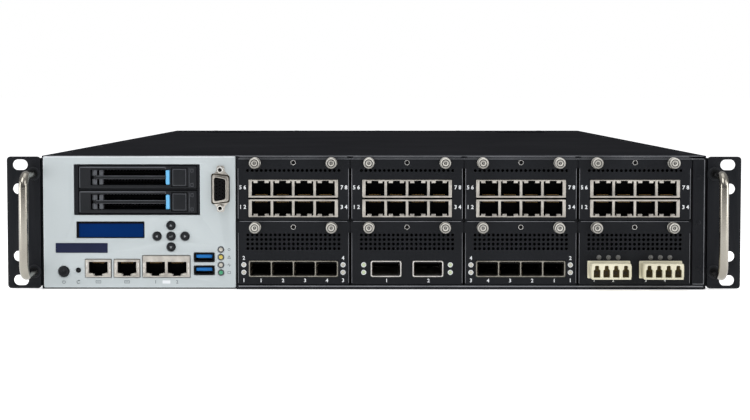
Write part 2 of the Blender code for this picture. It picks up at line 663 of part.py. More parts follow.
def build_modules():
    """The eight modules: copper ones above, and two pluggable, one wide and one fibre module below."""
    row, left = PORT_ROW_WIDTH, -PORT_ROW_WIDTH / 2
    copper_cut = (left, COPPER_FLOOR, row, 2 * COPPER_ROW + COPPER_ROW_GAP)
    cage_cut = (left, CAGE_FLOOR, row, CAGE_HEIGHT)
    wide_cuts = [(x - QSFP_WIDTH / 2, CAGE_FLOOR, QSFP_WIDTH, CAGE_HEIGHT)
                 for x in (-QSFP_SPREAD, QSFP_SPREAD)]
    fibre_cuts = [(x - ADAPTER_WIDTH / 2, CAGE_FLOOR, ADAPTER_WIDTH, ADAPTER_HEIGHT)
                  for x in (-ADAPTER_SPREAD, ADAPTER_SPREAD)]
    four = cage_ports([(left, row, SFP_COUNT)], SFP_DEPTH)
    wide = cage_ports([(x, QSFP_WIDTH, 1) for x, *_ in wide_cuts], QSFP_DEPTH)
    kinds = {
        "copper": ([copper_cut], 1, copper_ports(), NICKEL, "ports"),
        "sfp": ([cage_cut], 4, four, NICKEL, "cage"),
        "qsfp": (wide_cuts, 4, wide, NICKEL, "cages"),
        "fibre": (fibre_cuts, 4, fibre_ports(), IVORY_PLASTIC, "adapters"),
    }
    faces = {kind: faceplate([rectangle(*grown(cut, GAP)) for cut in cuts], rows)
             for kind, (cuts, rows, *_) in kinds.items()}
    places = [(f"copper_module_{k + 1}", "copper", k, UPPER_ROW) for k in range(MODULE_COLUMNS)]
    lower = (("sfp_module_1", "sfp"), ("qsfp_module", "qsfp"), ("sfp_module_2", "sfp"),
             ("fibre_module", "fibre"))
    places += [(name, kind, k, LOWER_ROW) for k, (name, kind) in enumerate(lower)]
    for name, kind, column, z in places:
        *_, ports, finish, word = kinds[kind]
        frame = holder(name, (MODULES_LEFT + (column + 0.5) * MODULE_PITCH, FRONT_Y, z))
        add(f"{name}_carrier", faces[kind], BLACK_PAINT, parent=frame)
        add(f"{name}_{word}", ports, finish, parent=frame)


# Control panel

def pad_places():
    """The name and place of each button of the navigation pad."""
    x, z = PAD_CENTRE
    return (("up_button", x, z + PAD_STEP_Z), ("down_button", x, z - PAD_STEP_Z),
            ("left_button", x - PAD_STEP_X, z), ("right_button", x + PAD_STEP_X, z),
            ("enter_button", x, z))


def jack_places():
    """The name, area and number of openings of each socket block."""
    pair = JACK_SHELL + JACK_WIDTH + JACK_BETWEEN
    return (("management_port", (MANAGEMENT_LEFT, JACK_BOTTOM, JACK_SHELL, SMALL_JACK_HEIGHT), 1),
            ("console_port", (CONSOLE_LEFT, JACK_BOTTOM, JACK_SHELL, SMALL_JACK_HEIGHT), 1),
            ("lan_port_pair", (LAN_LEFT, JACK_BOTTOM, pair, LAN_JACK_HEIGHT), 2))


def vga_outline(x, z, grow=0.0):
    """The D-shaped outline of the display connector, standing on end."""
    half, tall, taper = VGA_SHELL
    wide, long = half + grow, tall + grow
    short = long - taper
    return [(x - wide, z - long), (x + wide, z - short), (x + wide, z + short), (x - wide, z + long)]


def build_panel():
    """The silver control panel with a hole for everything that shows through it."""
    outline = rectangle(PANEL_LEFT, PANEL_BOTTOM, PANEL_WIDTH, PANEL_TOP - PANEL_BOTTOM)
    areas = [(*DRIVE_CORNER, BAY_WIDTH, BAY_HEIGHT), LCD_WINDOW]
    areas += [area for _, area, _ in jack_places()]
    areas += [(USB_LEFT, z, USB_WIDTH, USB_HEIGHT) for z in USB_BOTTOMS]
    holes = [on_panel(area, GAP) for area in areas]
    holes += [circle(*at_panel(x, z), PAD_RADIUS + RUN) for _, x, z in pad_places()]
    holes.append(circle(*at_panel(*POWER_CENTRE), POWER_RADIUS + RUN, 14))
    holes.append(circle(*at_panel(*RESET_CENTRE), RESET_RADIUS + RUN, 10))
    holes += [circle(*at_panel(LED_X, z), LED_RADIUS + GAP, 10) for z in LED_HEIGHTS]
    holes.append(vga_outline(*at_panel(*VGA_CENTRE), GAP))
    add("control_panel", plate(outline, holes, FRONT_Y, FRONT_Y + PANEL_SHEET), SILVER_PAINT)


def build_button(name, place, radius, proud, sides=12):
    """A push button: its cap through the panel and a retaining flange behind it."""
    x, z = at_panel(*place)
    flange_y = PANEL_SHEET + GAP
    profile = [(radius, -proud), (radius, flange_y), (radius + BUTTON_FLANGE, flange_y),
               (radius + BUTTON_FLANGE, flange_y + BUTTON_FLANGE)]
    add(name, turned(profile, (0, 0, 0), sides), BLACK_PLASTIC, origin=(x, FRONT_Y, z))


def build_jack(name, area, count):
    """Modular jacks side by side in one shell, latch down."""
    left, bottom, width, height = area
    x = PANEL_LEFT + left
    middle = bottom + JACK_SILL + JACK_TALL / 2
    holes = [jack_outline(x + JACK_SIDE + JACK_WIDTH / 2 + k * (JACK_WIDTH + JACK_BETWEEN), middle)
             for k in range(count)]
    front, inner = FRONT_Y - PORT_PROUD, FRONT_Y + JACK_DEPTH
    shell = plate(rectangle(x, bottom, width, height), holes, front, inner)
    back = block((x, inner - JOIN, bottom), (x + width, FRONT_Y + JACK_BODY_DEPTH, bottom + height))
    add(name, combined(shell, [back]), NICKEL)


def build_usb(name, bottom, seat):
    """A socket with a tongue in a thin shell, and its foot behind the panel down to its seat."""
    left = PANEL_LEFT + USB_LEFT
    right = left + USB_WIDTH
    area = (left, bottom, USB_WIDTH, USB_HEIGHT)
    front, back = FRONT_Y - PORT_PROUD, FRONT_Y + USB_DEPTH
    inner = back - 2 * CAGE_WALL
    shell = plate(rectangle(*area), [rectangle(*grown(area, -USB_WALL))], front, inner)
    end = block((left, inner - JOIN, bottom), (right, back, bottom + USB_HEIGHT))
    low, thick = USB_TONGUE
    tongue = block((left + 2 * USB_WALL, FRONT_Y + USB_WALL, bottom + low),
                   (right - 2 * USB_WALL, inner + JOIN, bottom + low + thick))
    foot = block((left, PANEL_BACK, seat + GAP), (right, back, bottom + USB_WALL / 2))
    add(name, combined(shell, [end, tongue, foot]), STEEL)


def build_vga():
    """The display connector: its D-shaped shell and its flange behind the panel."""
    x, z = at_panel(*VGA_CENTRE)
    half, tall, depth = VGA_FLANGE
    shell = plate(vga_outline(x, z), [], FRONT_Y - VGA_REACH, PANEL_BACK + JOIN)
    flange = block((x - half, PANEL_BACK, z - tall), (x + half, PANEL_BACK + depth, z + tall))
    add("vga_connector", combined(shell, [flange]), NICKEL)


def build_panel_board():
    """The board under the sockets, on four posts, and the upright board with the lamps on it."""
    left, right = PANEL_LEFT + PANEL_BOARD_SIDE, PANEL_LEFT + PANEL_WIDTH - PANEL_BOARD_SIDE
    top = JACK_BOTTOM - GAP
    front, back = PANEL_BACK + BUTTON_FLANGE + BUTTON_TRAVEL + RUN, FRONT_Y + PANEL_BOARD_DEPTH
    shelf = block((left, front, top - BOARD_THICKNESS), (right, back, top))
    posts = [post(x, y, SHEET + GAP, top - BOARD_THICKNESS / 2, POST_RADIUS, 8)
             for x in (left + 2 * POST_RADIUS, right - 2 * POST_RADIUS)
             for y in (front + 2 * POST_RADIUS, back - 2 * POST_RADIUS)]
    upright = FRONT_Y + LAMP_BOARD_Y
    behind = upright + BOARD_THICKNESS
    usb_right = PANEL_LEFT + USB_LEFT + USB_WIDTH
    column = block((usb_right + GAP, upright, top - JOIN), (right, behind, LAMP_BOARD_TOP - JOIN))
    pad_left = PANEL_LEFT + LCD_WINDOW[0] + LCD_WINDOW[2] + LCD_BORDER + POST_RADIUS
    pad_bottom = max(USB_BOTTOMS[1] + USB_HEIGHT, JACK_BOTTOM + LAN_JACK_HEIGHT) + GAP
    pad = block((pad_left, upright, pad_bottom), (right, behind, LAMP_BOARD_TOP))
    x = PANEL_LEFT + LED_X
    lens = [(0.6 * LED_RADIUS, -0.0009), (LED_RADIUS, -0.0004), (LED_RADIUS, LAMP_BOARD_Y + JOIN)]
    lamps = [turned(lens, (x, FRONT_Y, z), 10) for z in LED_HEIGHTS]
    add("panel_board", combined(shelf, [*posts, column, pad, *lamps]), BOARD)


def build_lcd():
    """The display module: its window in the panel, and its body behind."""
    left, bottom, width, height = LCD_WINDOW
    x = PANEL_LEFT + left
    window = block((x, FRONT_Y + LCD_RECESS, bottom), (x + width, PANEL_BACK + JOIN, bottom + height))
    body = block((x - LCD_BORDER, PANEL_BACK, bottom - LCD_BORDER / 2),
                 (x + width + LCD_BORDER, PANEL_BACK + LCD_DEPTH, bottom + height + LCD_BORDER / 2))
    add("lcd_module", combined(window, [body]), DISPLAY)


def build_control_panel():
    """Everything on the silver panel."""
    build_panel()
    for name, x, z in pad_places():
        build_button(name, (x, z), PAD_RADIUS, BUTTON_PROUD)
    build_button("power_button", POWER_CENTRE, POWER_RADIUS, BUTTON_PROUD, 14)
    build_button("reset_button", RESET_CENTRE, RESET_RADIUS, -RESET_RECESS, 10)
    for name, area, count in jack_places():
        build_jack(name, area, count)
    build_usb("usb_port_lower", USB_BOTTOMS[0], JACK_BOTTOM - GAP)
    build_usb("usb_port_upper", USB_BOTTOMS[1], USB_BOTTOMS[0] + USB_HEIGHT)
    build_vga()
    build_panel_board()
    build_lcd()


# Drives

def build_drives():
    """The drive cage on its legs, and two trays with their levers, release buttons and drives."""
    left, bottom = PANEL_LEFT + DRIVE_CORNER[0], DRIVE_CORNER[1]
    tray_left = left + CAGE_LEFT_WALL + RUN
    floors = [bottom + CAGE_WEB + RUN, bottom + 2 * CAGE_WEB + 3 * RUN + TRAY_HEIGHT]
    bays = [rectangle(*grown((tray_left, z, TRAY_WIDTH, TRAY_HEIGHT), RUN)) for z in floors]
    outline = rectangle(left, bottom, BAY_WIDTH, BAY_HEIGHT)
    back = FRONT_Y + CAGE_DEPTH
    margin, plug_height = CAGE_PLUG
    plugs = [rectangle(left + margin, z, BAY_WIDTH - 2 * margin, plug_height) for z in floors]
    rear = plate(outline, plugs, back - JOIN, back + BOARD_THICKNESS)
    legs = [block((x, FRONT_Y + CAGE_LEG_FRONT, SHEET + GAP),
                  (x + SHEET, FRONT_Y + CAGE_LEG_FRONT + CAGE_LEG_DEPTH, bottom + CAGE_WEB / 2))
            for x in (left, left + BAY_WIDTH - SHEET)]
    add("drive_cage", combined(plate(outline, bays, FRONT_Y, back), [rear, *legs]), BLACK_PAINT)
    tray, drive, release = tray_mesh(), drive_mesh(), release_mesh()
    pivot = (LEVER_LEFT + GAP + LEVER_BARREL, GAP + LEVER_BARREL, TRAY_HEIGHT / 2)
    lever = lever_mesh(pivot)
    for name, z in zip(("lower", "upper"), floors):
        frame = holder(f"drive_{name}", (tray_left, FRONT_Y, z))
        add(f"drive_tray_{name}", tray, BLACK_PLASTIC, parent=frame)
        add(f"drive_lever_{name}", lever, BLUE_PLASTIC, origin=pivot, parent=frame)
        add(f"drive_release_{name}", release, BLACK_PLASTIC, parent=frame)
        add(f"drive_{name}", drive, ALUMINIUM, parent=frame)


def lever_heights(clearance=0.0):
    """The lowest and highest Z of the lever's recess, less a clearance."""
    low = (TRAY_HEIGHT - LEVER_RECESS_HEIGHT) / 2
    return low + clearance, low + LEVER_RECESS_HEIGHT - clearance


def tray_mesh():
    """A drive tray: its bezel with the lever's recess, the button's pocket and air slots, and its rails."""
    low, high = lever_heights()
    bezel = block((0, 0, 0), (TRAY_WIDTH, BEZEL_DEPTH, TRAY_HEIGHT))
    recess = block((LEVER_LEFT, -JOIN, low), (LEVER_LEFT + LEVER_LENGTH, LEVER_RECESS_DEPTH, high))
    top = TRAY_HEIGHT - RELEASE_MARGIN
    pocket = block((RELEASE_LEFT - GAP, -JOIN, RELEASE_MARGIN - GAP),
                   (RELEASE_LEFT + RELEASE_WIDTH + GAP, RELEASE_DEPTH + RELEASE_TRAVEL + GAP, top + GAP))
    length, height = AIR_SLOT
    first = LEVER_LEFT + LEVER_LENGTH - AIR_SLOTS * AIR_SLOT_PITCH
    slots = [block((first + k * AIR_SLOT_PITCH, LEVER_RECESS_DEPTH - JOIN, z),
                   (first + k * AIR_SLOT_PITCH + length, BEZEL_DEPTH + JOIN, z + height))
             for k in range(AIR_SLOTS) for z in (low + SHEET, high - SHEET - height)]
    rail_z = (TRAY_HEIGHT - RAIL_HEIGHT) / 2
    rails = [block((x, BEZEL_DEPTH - JOIN, rail_z), (x + RAIL_WIDTH, TRAY_DEPTH, rail_z + RAIL_HEIGHT))
             for x in (0, TRAY_WIDTH - RAIL_WIDTH)]
    cross = block((RAIL_WIDTH / 2, TRAY_DEPTH - 2 * RAIL_WIDTH, rail_z + JOIN),
                  (TRAY_WIDTH - RAIL_WIDTH / 2, TRAY_DEPTH - RAIL_WIDTH, rail_z + JOIN + SHEET))
    return combined(bezel, [*rails, cross], [recess, pocket, *slots])


def lever_mesh(pivot):
    """The lever: an upright barrel, the bar across the bezel, and the tab that is pulled."""
    x, y, middle = pivot
    low, high = lever_heights(GAP)
    reach = LEVER_LEFT + LEVER_LENGTH - GAP
    barrel = post(x, y, low, high, LEVER_BARREL)
    bar = block((x, GAP, middle - LEVER_BAR / 2),
                (reach - LEVER_TAB / 2, GAP + LEVER_THICK, middle + LEVER_BAR / 2))
    tab = block((reach - LEVER_TAB, GAP, low), (reach, GAP + LEVER_THICK, high))
    lever = combined(barrel, [bar, tab])
    lever.transform(Matrix.Translation(-Vector(pivot)))
    return lever


def release_mesh():
    """The square button that frees the lever."""
    return block((RELEASE_LEFT, 0, RELEASE_MARGIN),
                 (RELEASE_LEFT + RELEASE_WIDTH, RELEASE_DEPTH, TRAY_HEIGHT - RELEASE_MARGIN))


def drive_mesh():
    """The drive between the rails of its tray."""
    width, depth, height = SSD_SIZE
    left, front = (TRAY_WIDTH - width) / 2, BEZEL_DEPTH + GAP
    bottom = (TRAY_HEIGHT - RAIL_HEIGHT) / 2 + DRIVE_LIFT
    return block((left, front, bottom), (left + width, front + depth, bottom + height))


# Inside and rear

def processor_places():
    """The middle of each processor, a quarter and three quarters of the way across the board."""
    left, right = LEFT_X + MAINBOARD_SIDE, BAY_WALL_X - MAINBOARD_SIDE
    y = FRONT_Y + BACKPLANE_Y + PROCESSOR_Y
    return [(left + share * (right - left), y) for share in (0.25, 0.75)]


def build_mainboard():
    """The main circuit board with its memory, sockets and the upright module backplane."""
    left, right = LEFT_X + MAINBOARD_SIDE, BAY_WALL_X - MAINBOARD_SIDE
    front, back = FRONT_Y + BACKPLANE_Y, FAN_FRONT - MAINBOARD_BACK
    top = MAINBOARD_Z + BOARD_THICKNESS
    board = block((left, front, MAINBOARD_Z), (right, back, top))
    width, height, rise = BACKPLANE_WINDOW
    windows = [rectangle(MODULES_LEFT + (k + 0.5) * MODULE_PITCH - width / 2, z + rise, width, height)
               for k in range(MODULE_COLUMNS) for z in (LOWER_ROW, UPPER_ROW)]
    upright = rectangle(MODULES_LEFT, MAINBOARD_Z, MODULES_RIGHT - MODULES_LEFT,
                        WALL_TOP - COVER_FLANGE / 2 - MAINBOARD_Z)
    parts = [plate(upright, windows, front, front + BACKPLANE_SHEET)]
    parts += [post(x, y, SHEET + GAP, top - BOARD_THICKNESS / 2, POST_RADIUS, 8)
              for x in (left + 2 * POST_RADIUS, right - 2 * POST_RADIUS)
              for y in (front + 4 * POST_RADIUS, back - 4 * POST_RADIUS)]
    thick, length, tall = MEMORY_SIZE
    for x, y in processor_places():
        half = SOCKET_SIZE / 2
        parts.append(block((x - half, y - half, top - JOIN), (x + half, y + half, top + SOCKET_HEIGHT)))
        for side in (-1, 1):
            for k in range(MEMORY_COUNT):
                middle = x + side * (MEMORY_FIRST + MEMORY_PITCH * k)
                parts.append(block((middle - thick / 2, y - length / 2, top - JOIN),
                                   (middle + thick / 2, y + length / 2, top + tall)))
    add("mainboard", combined(board, parts), BOARD)


def build_heatsinks():
    """A finned heatsink on each processor."""
    width, length, height = HEATSINK
    low = MAINBOARD_Z + BOARD_THICKNESS + SOCKET_HEIGHT + GAP
    step = (width - FIN) / (HEATSINK_FINS - 1)
    for name, (x, y) in zip(("left", "right"), processor_places()):
        left, front = x - width / 2, y - length / 2
        foot = block((left, front, low), (left + width, front + length, low + HEATSINK_FOOT))
        fins = [block((left + k * step, front, low + HEATSINK_FOOT - JOIN),
                      (left + k * step + FIN, front + length, low + height)) for k in range(HEATSINK_FINS)]
        add(f"heatsink_{name}", combined(foot, fins), ALUMINIUM)


def build_fans():
    """The fan tray at the rear wall, and one rotor in each of its bores."""
    back = FAN_FRONT + FAN_DEPTH
    span = (FAN_COUNT - 1) * FAN_PITCH + FAN_SIZE
    bores = [circle(x, FAN_Z, FAN_BORE, FAN_BORE_SIDES) for x in fan_centres()]
    frame = plate(rectangle(FAN_LEFT, FAN_Z - FAN_SIZE / 2, span, FAN_SIZE), bores, FAN_FRONT, back)
    mounts = []
    half, reach = FAN_STAY / 2, FAN_BORE + FAN_RIM / 2
    for x in fan_centres():
        mounts.append(turned([(FAN_HUB, -FAN_HUB_CAP), (FAN_HUB, 0)], (x, back, FAN_Z), 16))
        mounts.append(block((x - reach, back - FAN_HUB_CAP + JOIN, FAN_Z - half),
                            (x + reach, back - JOIN, FAN_Z + half)))
        mounts.append(block((x - half, back - FAN_HUB_CAP + JOIN / 2, FAN_Z - reach),
                            (x + half, back - JOIN / 2, FAN_Z + reach)))
    add("fan_tray", combined(frame, mounts), BLACK_PLASTIC)
    rotor, rotor_y = rotor_mesh(), back - FAN_HUB_CAP - RUN - ROTOR_DEPTH
    for k, x in enumerate(fan_centres()):
        add(f"fan_rotor_{k + 1}", rotor, BLACK_PLASTIC, origin=(x, rotor_y, FAN_Z))


def rotor_mesh():
    """A hub with pitched blades, turned about Y, with its front at the origin."""
    profile = [(FAN_HUB - FAN_HUB_CHAMFER, 0), (FAN_HUB, FAN_HUB_CHAMFER), (FAN_HUB, ROTOR_DEPTH)]
    hub = turned(profile, (0, 0, 0), 14)
    thick, chord = FAN_BLADE
    slant = math.radians(FAN_BLADE_TURN)
    half = (chord * math.sin(slant) + thick * math.cos(slant)) / 2
    reach = FAN_BORE * math.cos(math.pi / FAN_BORE_SIDES) - FAN_TIP_GAP
    tip = math.sqrt(reach ** 2 - half ** 2)
    blades = []
    for k in range(FAN_BLADES):
        blade = block((-thick / 2, -chord / 2, FAN_HUB - 2 * thick), (thick / 2, chord / 2, tip))
        turn = Matrix.Rotation(2 * math.pi * k / FAN_BLADES, 4, "Y")
        pitch = Matrix.Rotation(slant, 4, "Z")
        blade.transform(Matrix.Translation((0, ROTOR_DEPTH / 2, 0)) @ turn @ pitch)
        blades.append(blade)
    return combined(hub, blades)


def supply_mesh(bottom):
    """A power supply: its hollow case, its inlet with the contact block, and its handle."""
    front, back, top = REAR_Y - SUPPLY_DEPTH, REAR_Y + SUPPLY_PROUD, bottom + SUPPLY_HEIGHT
    case = block((SUPPLY_LEFT, front, bottom), (SUPPLY_RIGHT, back, top))
    hollow = block((SUPPLY_LEFT + SUPPLY_WALL, front - JOIN, bottom + SUPPLY_WALL),
                   (SUPPLY_RIGHT - SUPPLY_WALL, back - SUPPLY_END, top - SUPPLY_WALL))
    left, rise, width, height = INLET
    inlet = block((SUPPLY_LEFT + left, back - INLET_DEPTH, bottom + rise),
                  (SUPPLY_LEFT + left + width, back + JOIN, bottom + rise + height))
    pin_width, pin_height, pin_length = INLET_PIN
    pin_x, pin_z = SUPPLY_LEFT + left + width / 2, bottom + rise + height / 2
    pin = block((pin_x - pin_width / 2, back - INLET_DEPTH - JOIN, pin_z - pin_height / 2),
                (pin_x + pin_width / 2, back - INLET_DEPTH + pin_length, pin_z + pin_height / 2))
    slot_x, (slot_bottom, slot_height) = SUPPLY_RIGHT - LATCH_INSET, LATCH_SLOT
    slot = block((slot_x - LATCH_SWING, back - LATCH_ROOT - 2 * RUN, bottom + slot_bottom),
                 (SUPPLY_RIGHT + JOIN, back + JOIN, bottom + slot_bottom + slot_height))
    x0, x1, end = SUPPLY_LEFT + GRIP_LEFT, SUPPLY_LEFT + GRIP_LEFT + GRIP_WIDTH, REAR_Y + GRIP_REACH
    legs = [block((x0, back - JOIN, z), (x1, end - JOIN, z + GRIP_BAR))
            for z in (bottom + GRIP_MARGIN, top - GRIP_MARGIN - GRIP_BAR)]
    bar = block((x0, end - GRIP_BAR, bottom + GRIP_MARGIN), (x1, end, top - GRIP_MARGIN))
    return combined(case, [*legs, bar], [hollow, inlet, slot]), pin


def build_supplies():
    """Two power supplies, one above the other, each with its latch."""
    back = REAR_Y + SUPPLY_PROUD
    slot_bottom, slot_height = LATCH_SLOT
    low, high = RUN - slot_height / 2, slot_height / 2 - RUN
    x = SUPPLY_RIGHT - LATCH_INSET + LATCH_BLADE / 2
    for name, bottom in zip(("lower", "upper"), SUPPLY_FLOORS):
        case, pin = supply_mesh(bottom)
        add(f"supply_{name}", combined(case, [pin]), STEEL)
        pivot = (x, back - LATCH_ROOT, bottom + slot_bottom + slot_height / 2)
        tip = LATCH_ROOT + LATCH_REACH
        blade = block((-LATCH_BLADE / 2, 0, low), (LATCH_BLADE / 2, tip, high))
        thumb = block((-LATCH_BLADE / 2, tip - LATCH_BLADE, low), (LATCH_THUMB - LATCH_BLADE / 2, tip, high))
        add(f"supply_latch_{name}", combined(blade, [thumb]), BLUE_PLASTIC, origin=pivot)


def main():
    """Clears the scene and builds the whole appliance."""
    for old in list(bpy.data.objects):
        bpy.data.objects.remove(old)
    build_chassis()
    build_module_cage()
    build_ears()
    build_modules()
    build_control_panel()
    build_drives()
    build_mainboard()
    build_heatsinks()
    build_fans()
    build_supplies()


main()
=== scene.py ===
"""Looks of a two-unit rack firewall appliance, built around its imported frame.

Shapes are worked out in millimetres, in the frame's own axes: the front looks towards -Y and X runs
to the right as seen from the front. A piece's mesh is turned into metres as the last step. Finishes
come first, then the shape tools and the node trees, then one class for each sub-assembly.
"""

import logging
import math
from dataclasses import dataclass, field, replace
from enum import Enum
from functools import partial
from itertools import product
from typing import Iterable, Optional, Sequence, Union

import bmesh
import bpy
from mathutils import Matrix, Vector
from mathutils.geometry import tessellate_polygon


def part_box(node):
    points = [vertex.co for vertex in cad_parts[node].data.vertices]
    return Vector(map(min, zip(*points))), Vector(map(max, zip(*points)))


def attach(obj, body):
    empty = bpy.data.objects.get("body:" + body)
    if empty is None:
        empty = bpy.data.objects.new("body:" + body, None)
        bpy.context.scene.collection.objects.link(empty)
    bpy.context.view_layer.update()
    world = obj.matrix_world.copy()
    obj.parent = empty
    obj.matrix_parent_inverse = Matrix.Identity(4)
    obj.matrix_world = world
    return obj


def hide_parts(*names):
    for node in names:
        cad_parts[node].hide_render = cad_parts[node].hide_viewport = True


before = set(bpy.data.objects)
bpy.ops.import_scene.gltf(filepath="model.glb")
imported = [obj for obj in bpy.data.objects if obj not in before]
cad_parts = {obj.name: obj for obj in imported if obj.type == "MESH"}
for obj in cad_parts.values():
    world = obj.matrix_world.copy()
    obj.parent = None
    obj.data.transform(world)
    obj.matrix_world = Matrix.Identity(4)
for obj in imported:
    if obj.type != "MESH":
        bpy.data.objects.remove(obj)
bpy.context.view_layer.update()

MM = 0.001
SMOOTH_ANGLE = math.radians(38)
BOARD_SEED = 7

Flat = list[tuple[float, float]]
Triple = Sequence[float]
Colour = tuple[float, float, float]

log = logging.getLogger("appliance")


def feed(tree: bpy.types.NodeTree, node: bpy.types.Node, **inputs: object) -> None:
    """Links sockets to a node's inputs or sets their values, each input by its name with _ for a space."""
    for key, value in inputs.items():
        socket = node.inputs[key.replace("_", " ")]
        if isinstance(value, bpy.types.NodeSocket):
            tree.links.new(value, socket)
        else:
            socket.default_value = value


def add_shader(tree: bpy.types.NodeTree, kind: str, output: str, **inputs: object) -> bpy.types.NodeSocket:
    """Adds a shader node, feeds its inputs and gives the output named."""
    node = tree.nodes.new(f"ShaderNode{kind}")
    feed(tree, node, **inputs)
    return node.outputs[output]


def add_ramp(tree: bpy.types.NodeTree, value: bpy.types.NodeSocket, ends: tuple[float, float], first: Colour,
             second: Colour) -> bpy.types.NodeSocket:
    """Adds a ramp between two colours.

    Args:
        tree: The node tree.
        value: What the ramp reads.
        ends: The values where the first colour ends and the second begins.
        first: The colour at the low end.
        second: The colour at the high end.

    Returns:
        The ramp's colour.
    """
    made = add_shader(tree, "ValToRGB", "Color", Fac=value)
    for element, position, colour in zip(made.node.color_ramp.elements, ends, (first, second)):
        element.position, element.color = position, (*colour, 1.0)
    return made


class Pattern(Enum):
    """The kinds of surface that a finish can have."""

    GRAIN = "fine even texture"
    BRUSHED = "lines along X"
    SPANGLE = "zinc crystals"
    TRACES = "tracks on a circuit board"


class Facing(Enum):
    """The side of the appliance that a flat shape looks out of, as a turn about Z."""

    FRONT = 0
    RIGHT = 90
    REAR = 180
    LEFT = -90


@dataclass(frozen=True)
class Finish:
    """A procedural surface: two shades mixed by a texture, with its own relief and gloss."""

    name: str
    slot: str
    colour: Colour
    shade: Colour
    roughness: float = 0.45
    metallic: float = 0.0
    pattern: Pattern = Pattern.GRAIN
    scale: float = 40.0
    relief: float = 0.15
    relief_scale: float = 1500.0
    coat: float = 0.0
    glow: float = 0.0
    spread: float = 0.12
    specular: float = 0.5

    def material(self) -> bpy.types.Material:
        """The finish as a material, made once.

        Returns:
            The Blender material.
        """
        found = bpy.data.materials.get(self.name)
        if found:
            return found
        made = bpy.data.materials.new(self.name)
        made.use_nodes = True
        self._wire(made.node_tree)
        return made

    def _wire(self, tree: bpy.types.NodeTree) -> None:
        """Links the textures to the shader.

        Args:
            tree: The material's node tree, with its default shader.
        """
        add = partial(add_shader, tree)
        place = add("TexCoord", "Object")
        if self.pattern is Pattern.BRUSHED:
            place = add("Mapping", "Vector", Vector=place, Scale=(0.04, 1.0, 1.0))
        broad = self._texture(tree, place)
        gloss = add("MapRange", "Result", Value=broad, To_Min=self.roughness + self.spread / 2,
                    To_Max=max(self.roughness - self.spread / 2, 0.03))
        fine = add("TexNoise", "Fac", Vector=place, Scale=self.relief_scale, Detail=2.0)
        bump = add("Bump", "Normal", Height=fine, Strength=self.relief, Distance=0.1 * MM)
        feed(tree, tree.nodes["Principled BSDF"], Metallic=self.metallic, Specular_IOR_Level=self.specular,
             Coat_Weight=self.coat, Coat_Roughness=0.08, Emission_Color=(*self.colour, 1.0),
             Emission_Strength=self.glow, Roughness=gloss, Normal=bump,
             Base_Color=add_ramp(tree, broad, self._ramp(), self.shade, self.colour))

    def _ramp(self) -> tuple[float, float]:
        """Where the darker shade ends and the main colour begins, on the texture."""
        return (0.46, 0.52) if self.pattern is Pattern.TRACES else (0.3, 0.7)

    def _texture(self, tree: bpy.types.NodeTree, place: bpy.types.NodeSocket) -> bpy.types.NodeSocket:
        """The broad texture that mixes the two shades.

        Args:
            tree: The material's node tree.
            place: The coordinates to read.

        Returns:
            A grey value from 0 to 1.
        """
        if self.pattern is Pattern.SPANGLE:
            cells = add_shader(tree, "TexVoronoi", "Color", Vector=place, Scale=self.scale)
            return add_shader(tree, "SeparateColor", "Red", Color=cells)
        if self.pattern is Pattern.TRACES:
            tracks = add_shader(tree, "TexWave", "Fac", Vector=place, Scale=self.scale, Distortion=6.0,
                                Detail=0.0, Detail_Scale=0.4)
            tracks.node.bands_direction = "DIAGONAL"
            return tracks
        finer = 20 if self.pattern is Pattern.BRUSHED else 1
        return add_shader(tree, "TexNoise", "Fac", Vector=place, Scale=self.scale * finer, Detail=3.0)


BLACK_COAT = Finish("black_powder_coat", "black_paint", (0.0066, 0.0075, 0.0096), (0.0050, 0.0057, 0.0074),
                    0.46, relief=0.25, relief_scale=1800.0, specular=0.13)
COVER_COAT = replace(BLACK_COAT, name="black_cover_coat", colour=(0.0068, 0.0072, 0.0092),
                     shade=(0.0050, 0.0053, 0.0070), roughness=0.75, scale=12.0, specular=0.02)
SILVER = Finish("silver_panel_paint", "silver_paint", (0.445, 0.485, 0.495), (0.395, 0.435, 0.445), 0.4, 0.12,
                scale=9.0, relief=0.12, relief_scale=2600.0, specular=0.35)
NICKEL = Finish("nickel_plate", "nickel", (0.70, 0.69, 0.66), (0.56, 0.55, 0.52), 0.26, 1.0, relief=0.04)
DULL_NICKEL = replace(NICKEL, name="dull_nickel", colour=(0.58, 0.565, 0.52), shade=(0.45, 0.435, 0.40),
                      roughness=0.42)
POLISHED = replace(NICKEL, name="polished_nickel", colour=(0.29, 0.275, 0.24), shade=(0.24, 0.225, 0.195),
                   roughness=0.17, spread=0.05)
CONNECTOR = Finish("connector_metal", "nickel", (0.50, 0.475, 0.43), (0.34, 0.32, 0.29), 0.34, 0.9,
                   scale=160.0, relief=0.08)
CAGE_METAL = replace(CONNECTOR, name="cage_metal", colour=(0.30, 0.285, 0.25), shade=(0.19, 0.178, 0.15))
BRIGHT_CAGE = replace(CONNECTOR, name="bright_cage_metal", colour=(0.62, 0.60, 0.57),
                      shade=(0.50, 0.485, 0.46))
GOLD = Finish("gold_contact", "nickel", (0.58, 0.36, 0.13), (0.42, 0.25, 0.08), 0.3, 1.0, relief=0.03)
ZINC = Finish("zinc_sheet", "zinc_steel", (0.40, 0.41, 0.405), (0.28, 0.29, 0.29), 0.4, 1.0,
              Pattern.SPANGLE, 130.0, 0.05)
BLACK_PLASTIC = Finish("black_moulding", "black_plastic", (0.0115, 0.0125, 0.0145), (0.008, 0.009, 0.011),
                       0.5, relief=0.35, relief_scale=1300.0, specular=0.15)
GREY_PLASTIC = replace(BLACK_PLASTIC, name="grey_moulding", colour=(0.10, 0.105, 0.115),
                       shade=(0.075, 0.08, 0.09), roughness=0.42)
# Painted highlight: a light grey for thin strips that stand in for light caught by sheet edges.
EDGE_HIGHLIGHT = replace(GREY_PLASTIC, name="worn_edge", colour=(0.20, 0.205, 0.22), shade=(0.11, 0.115, 0.125))
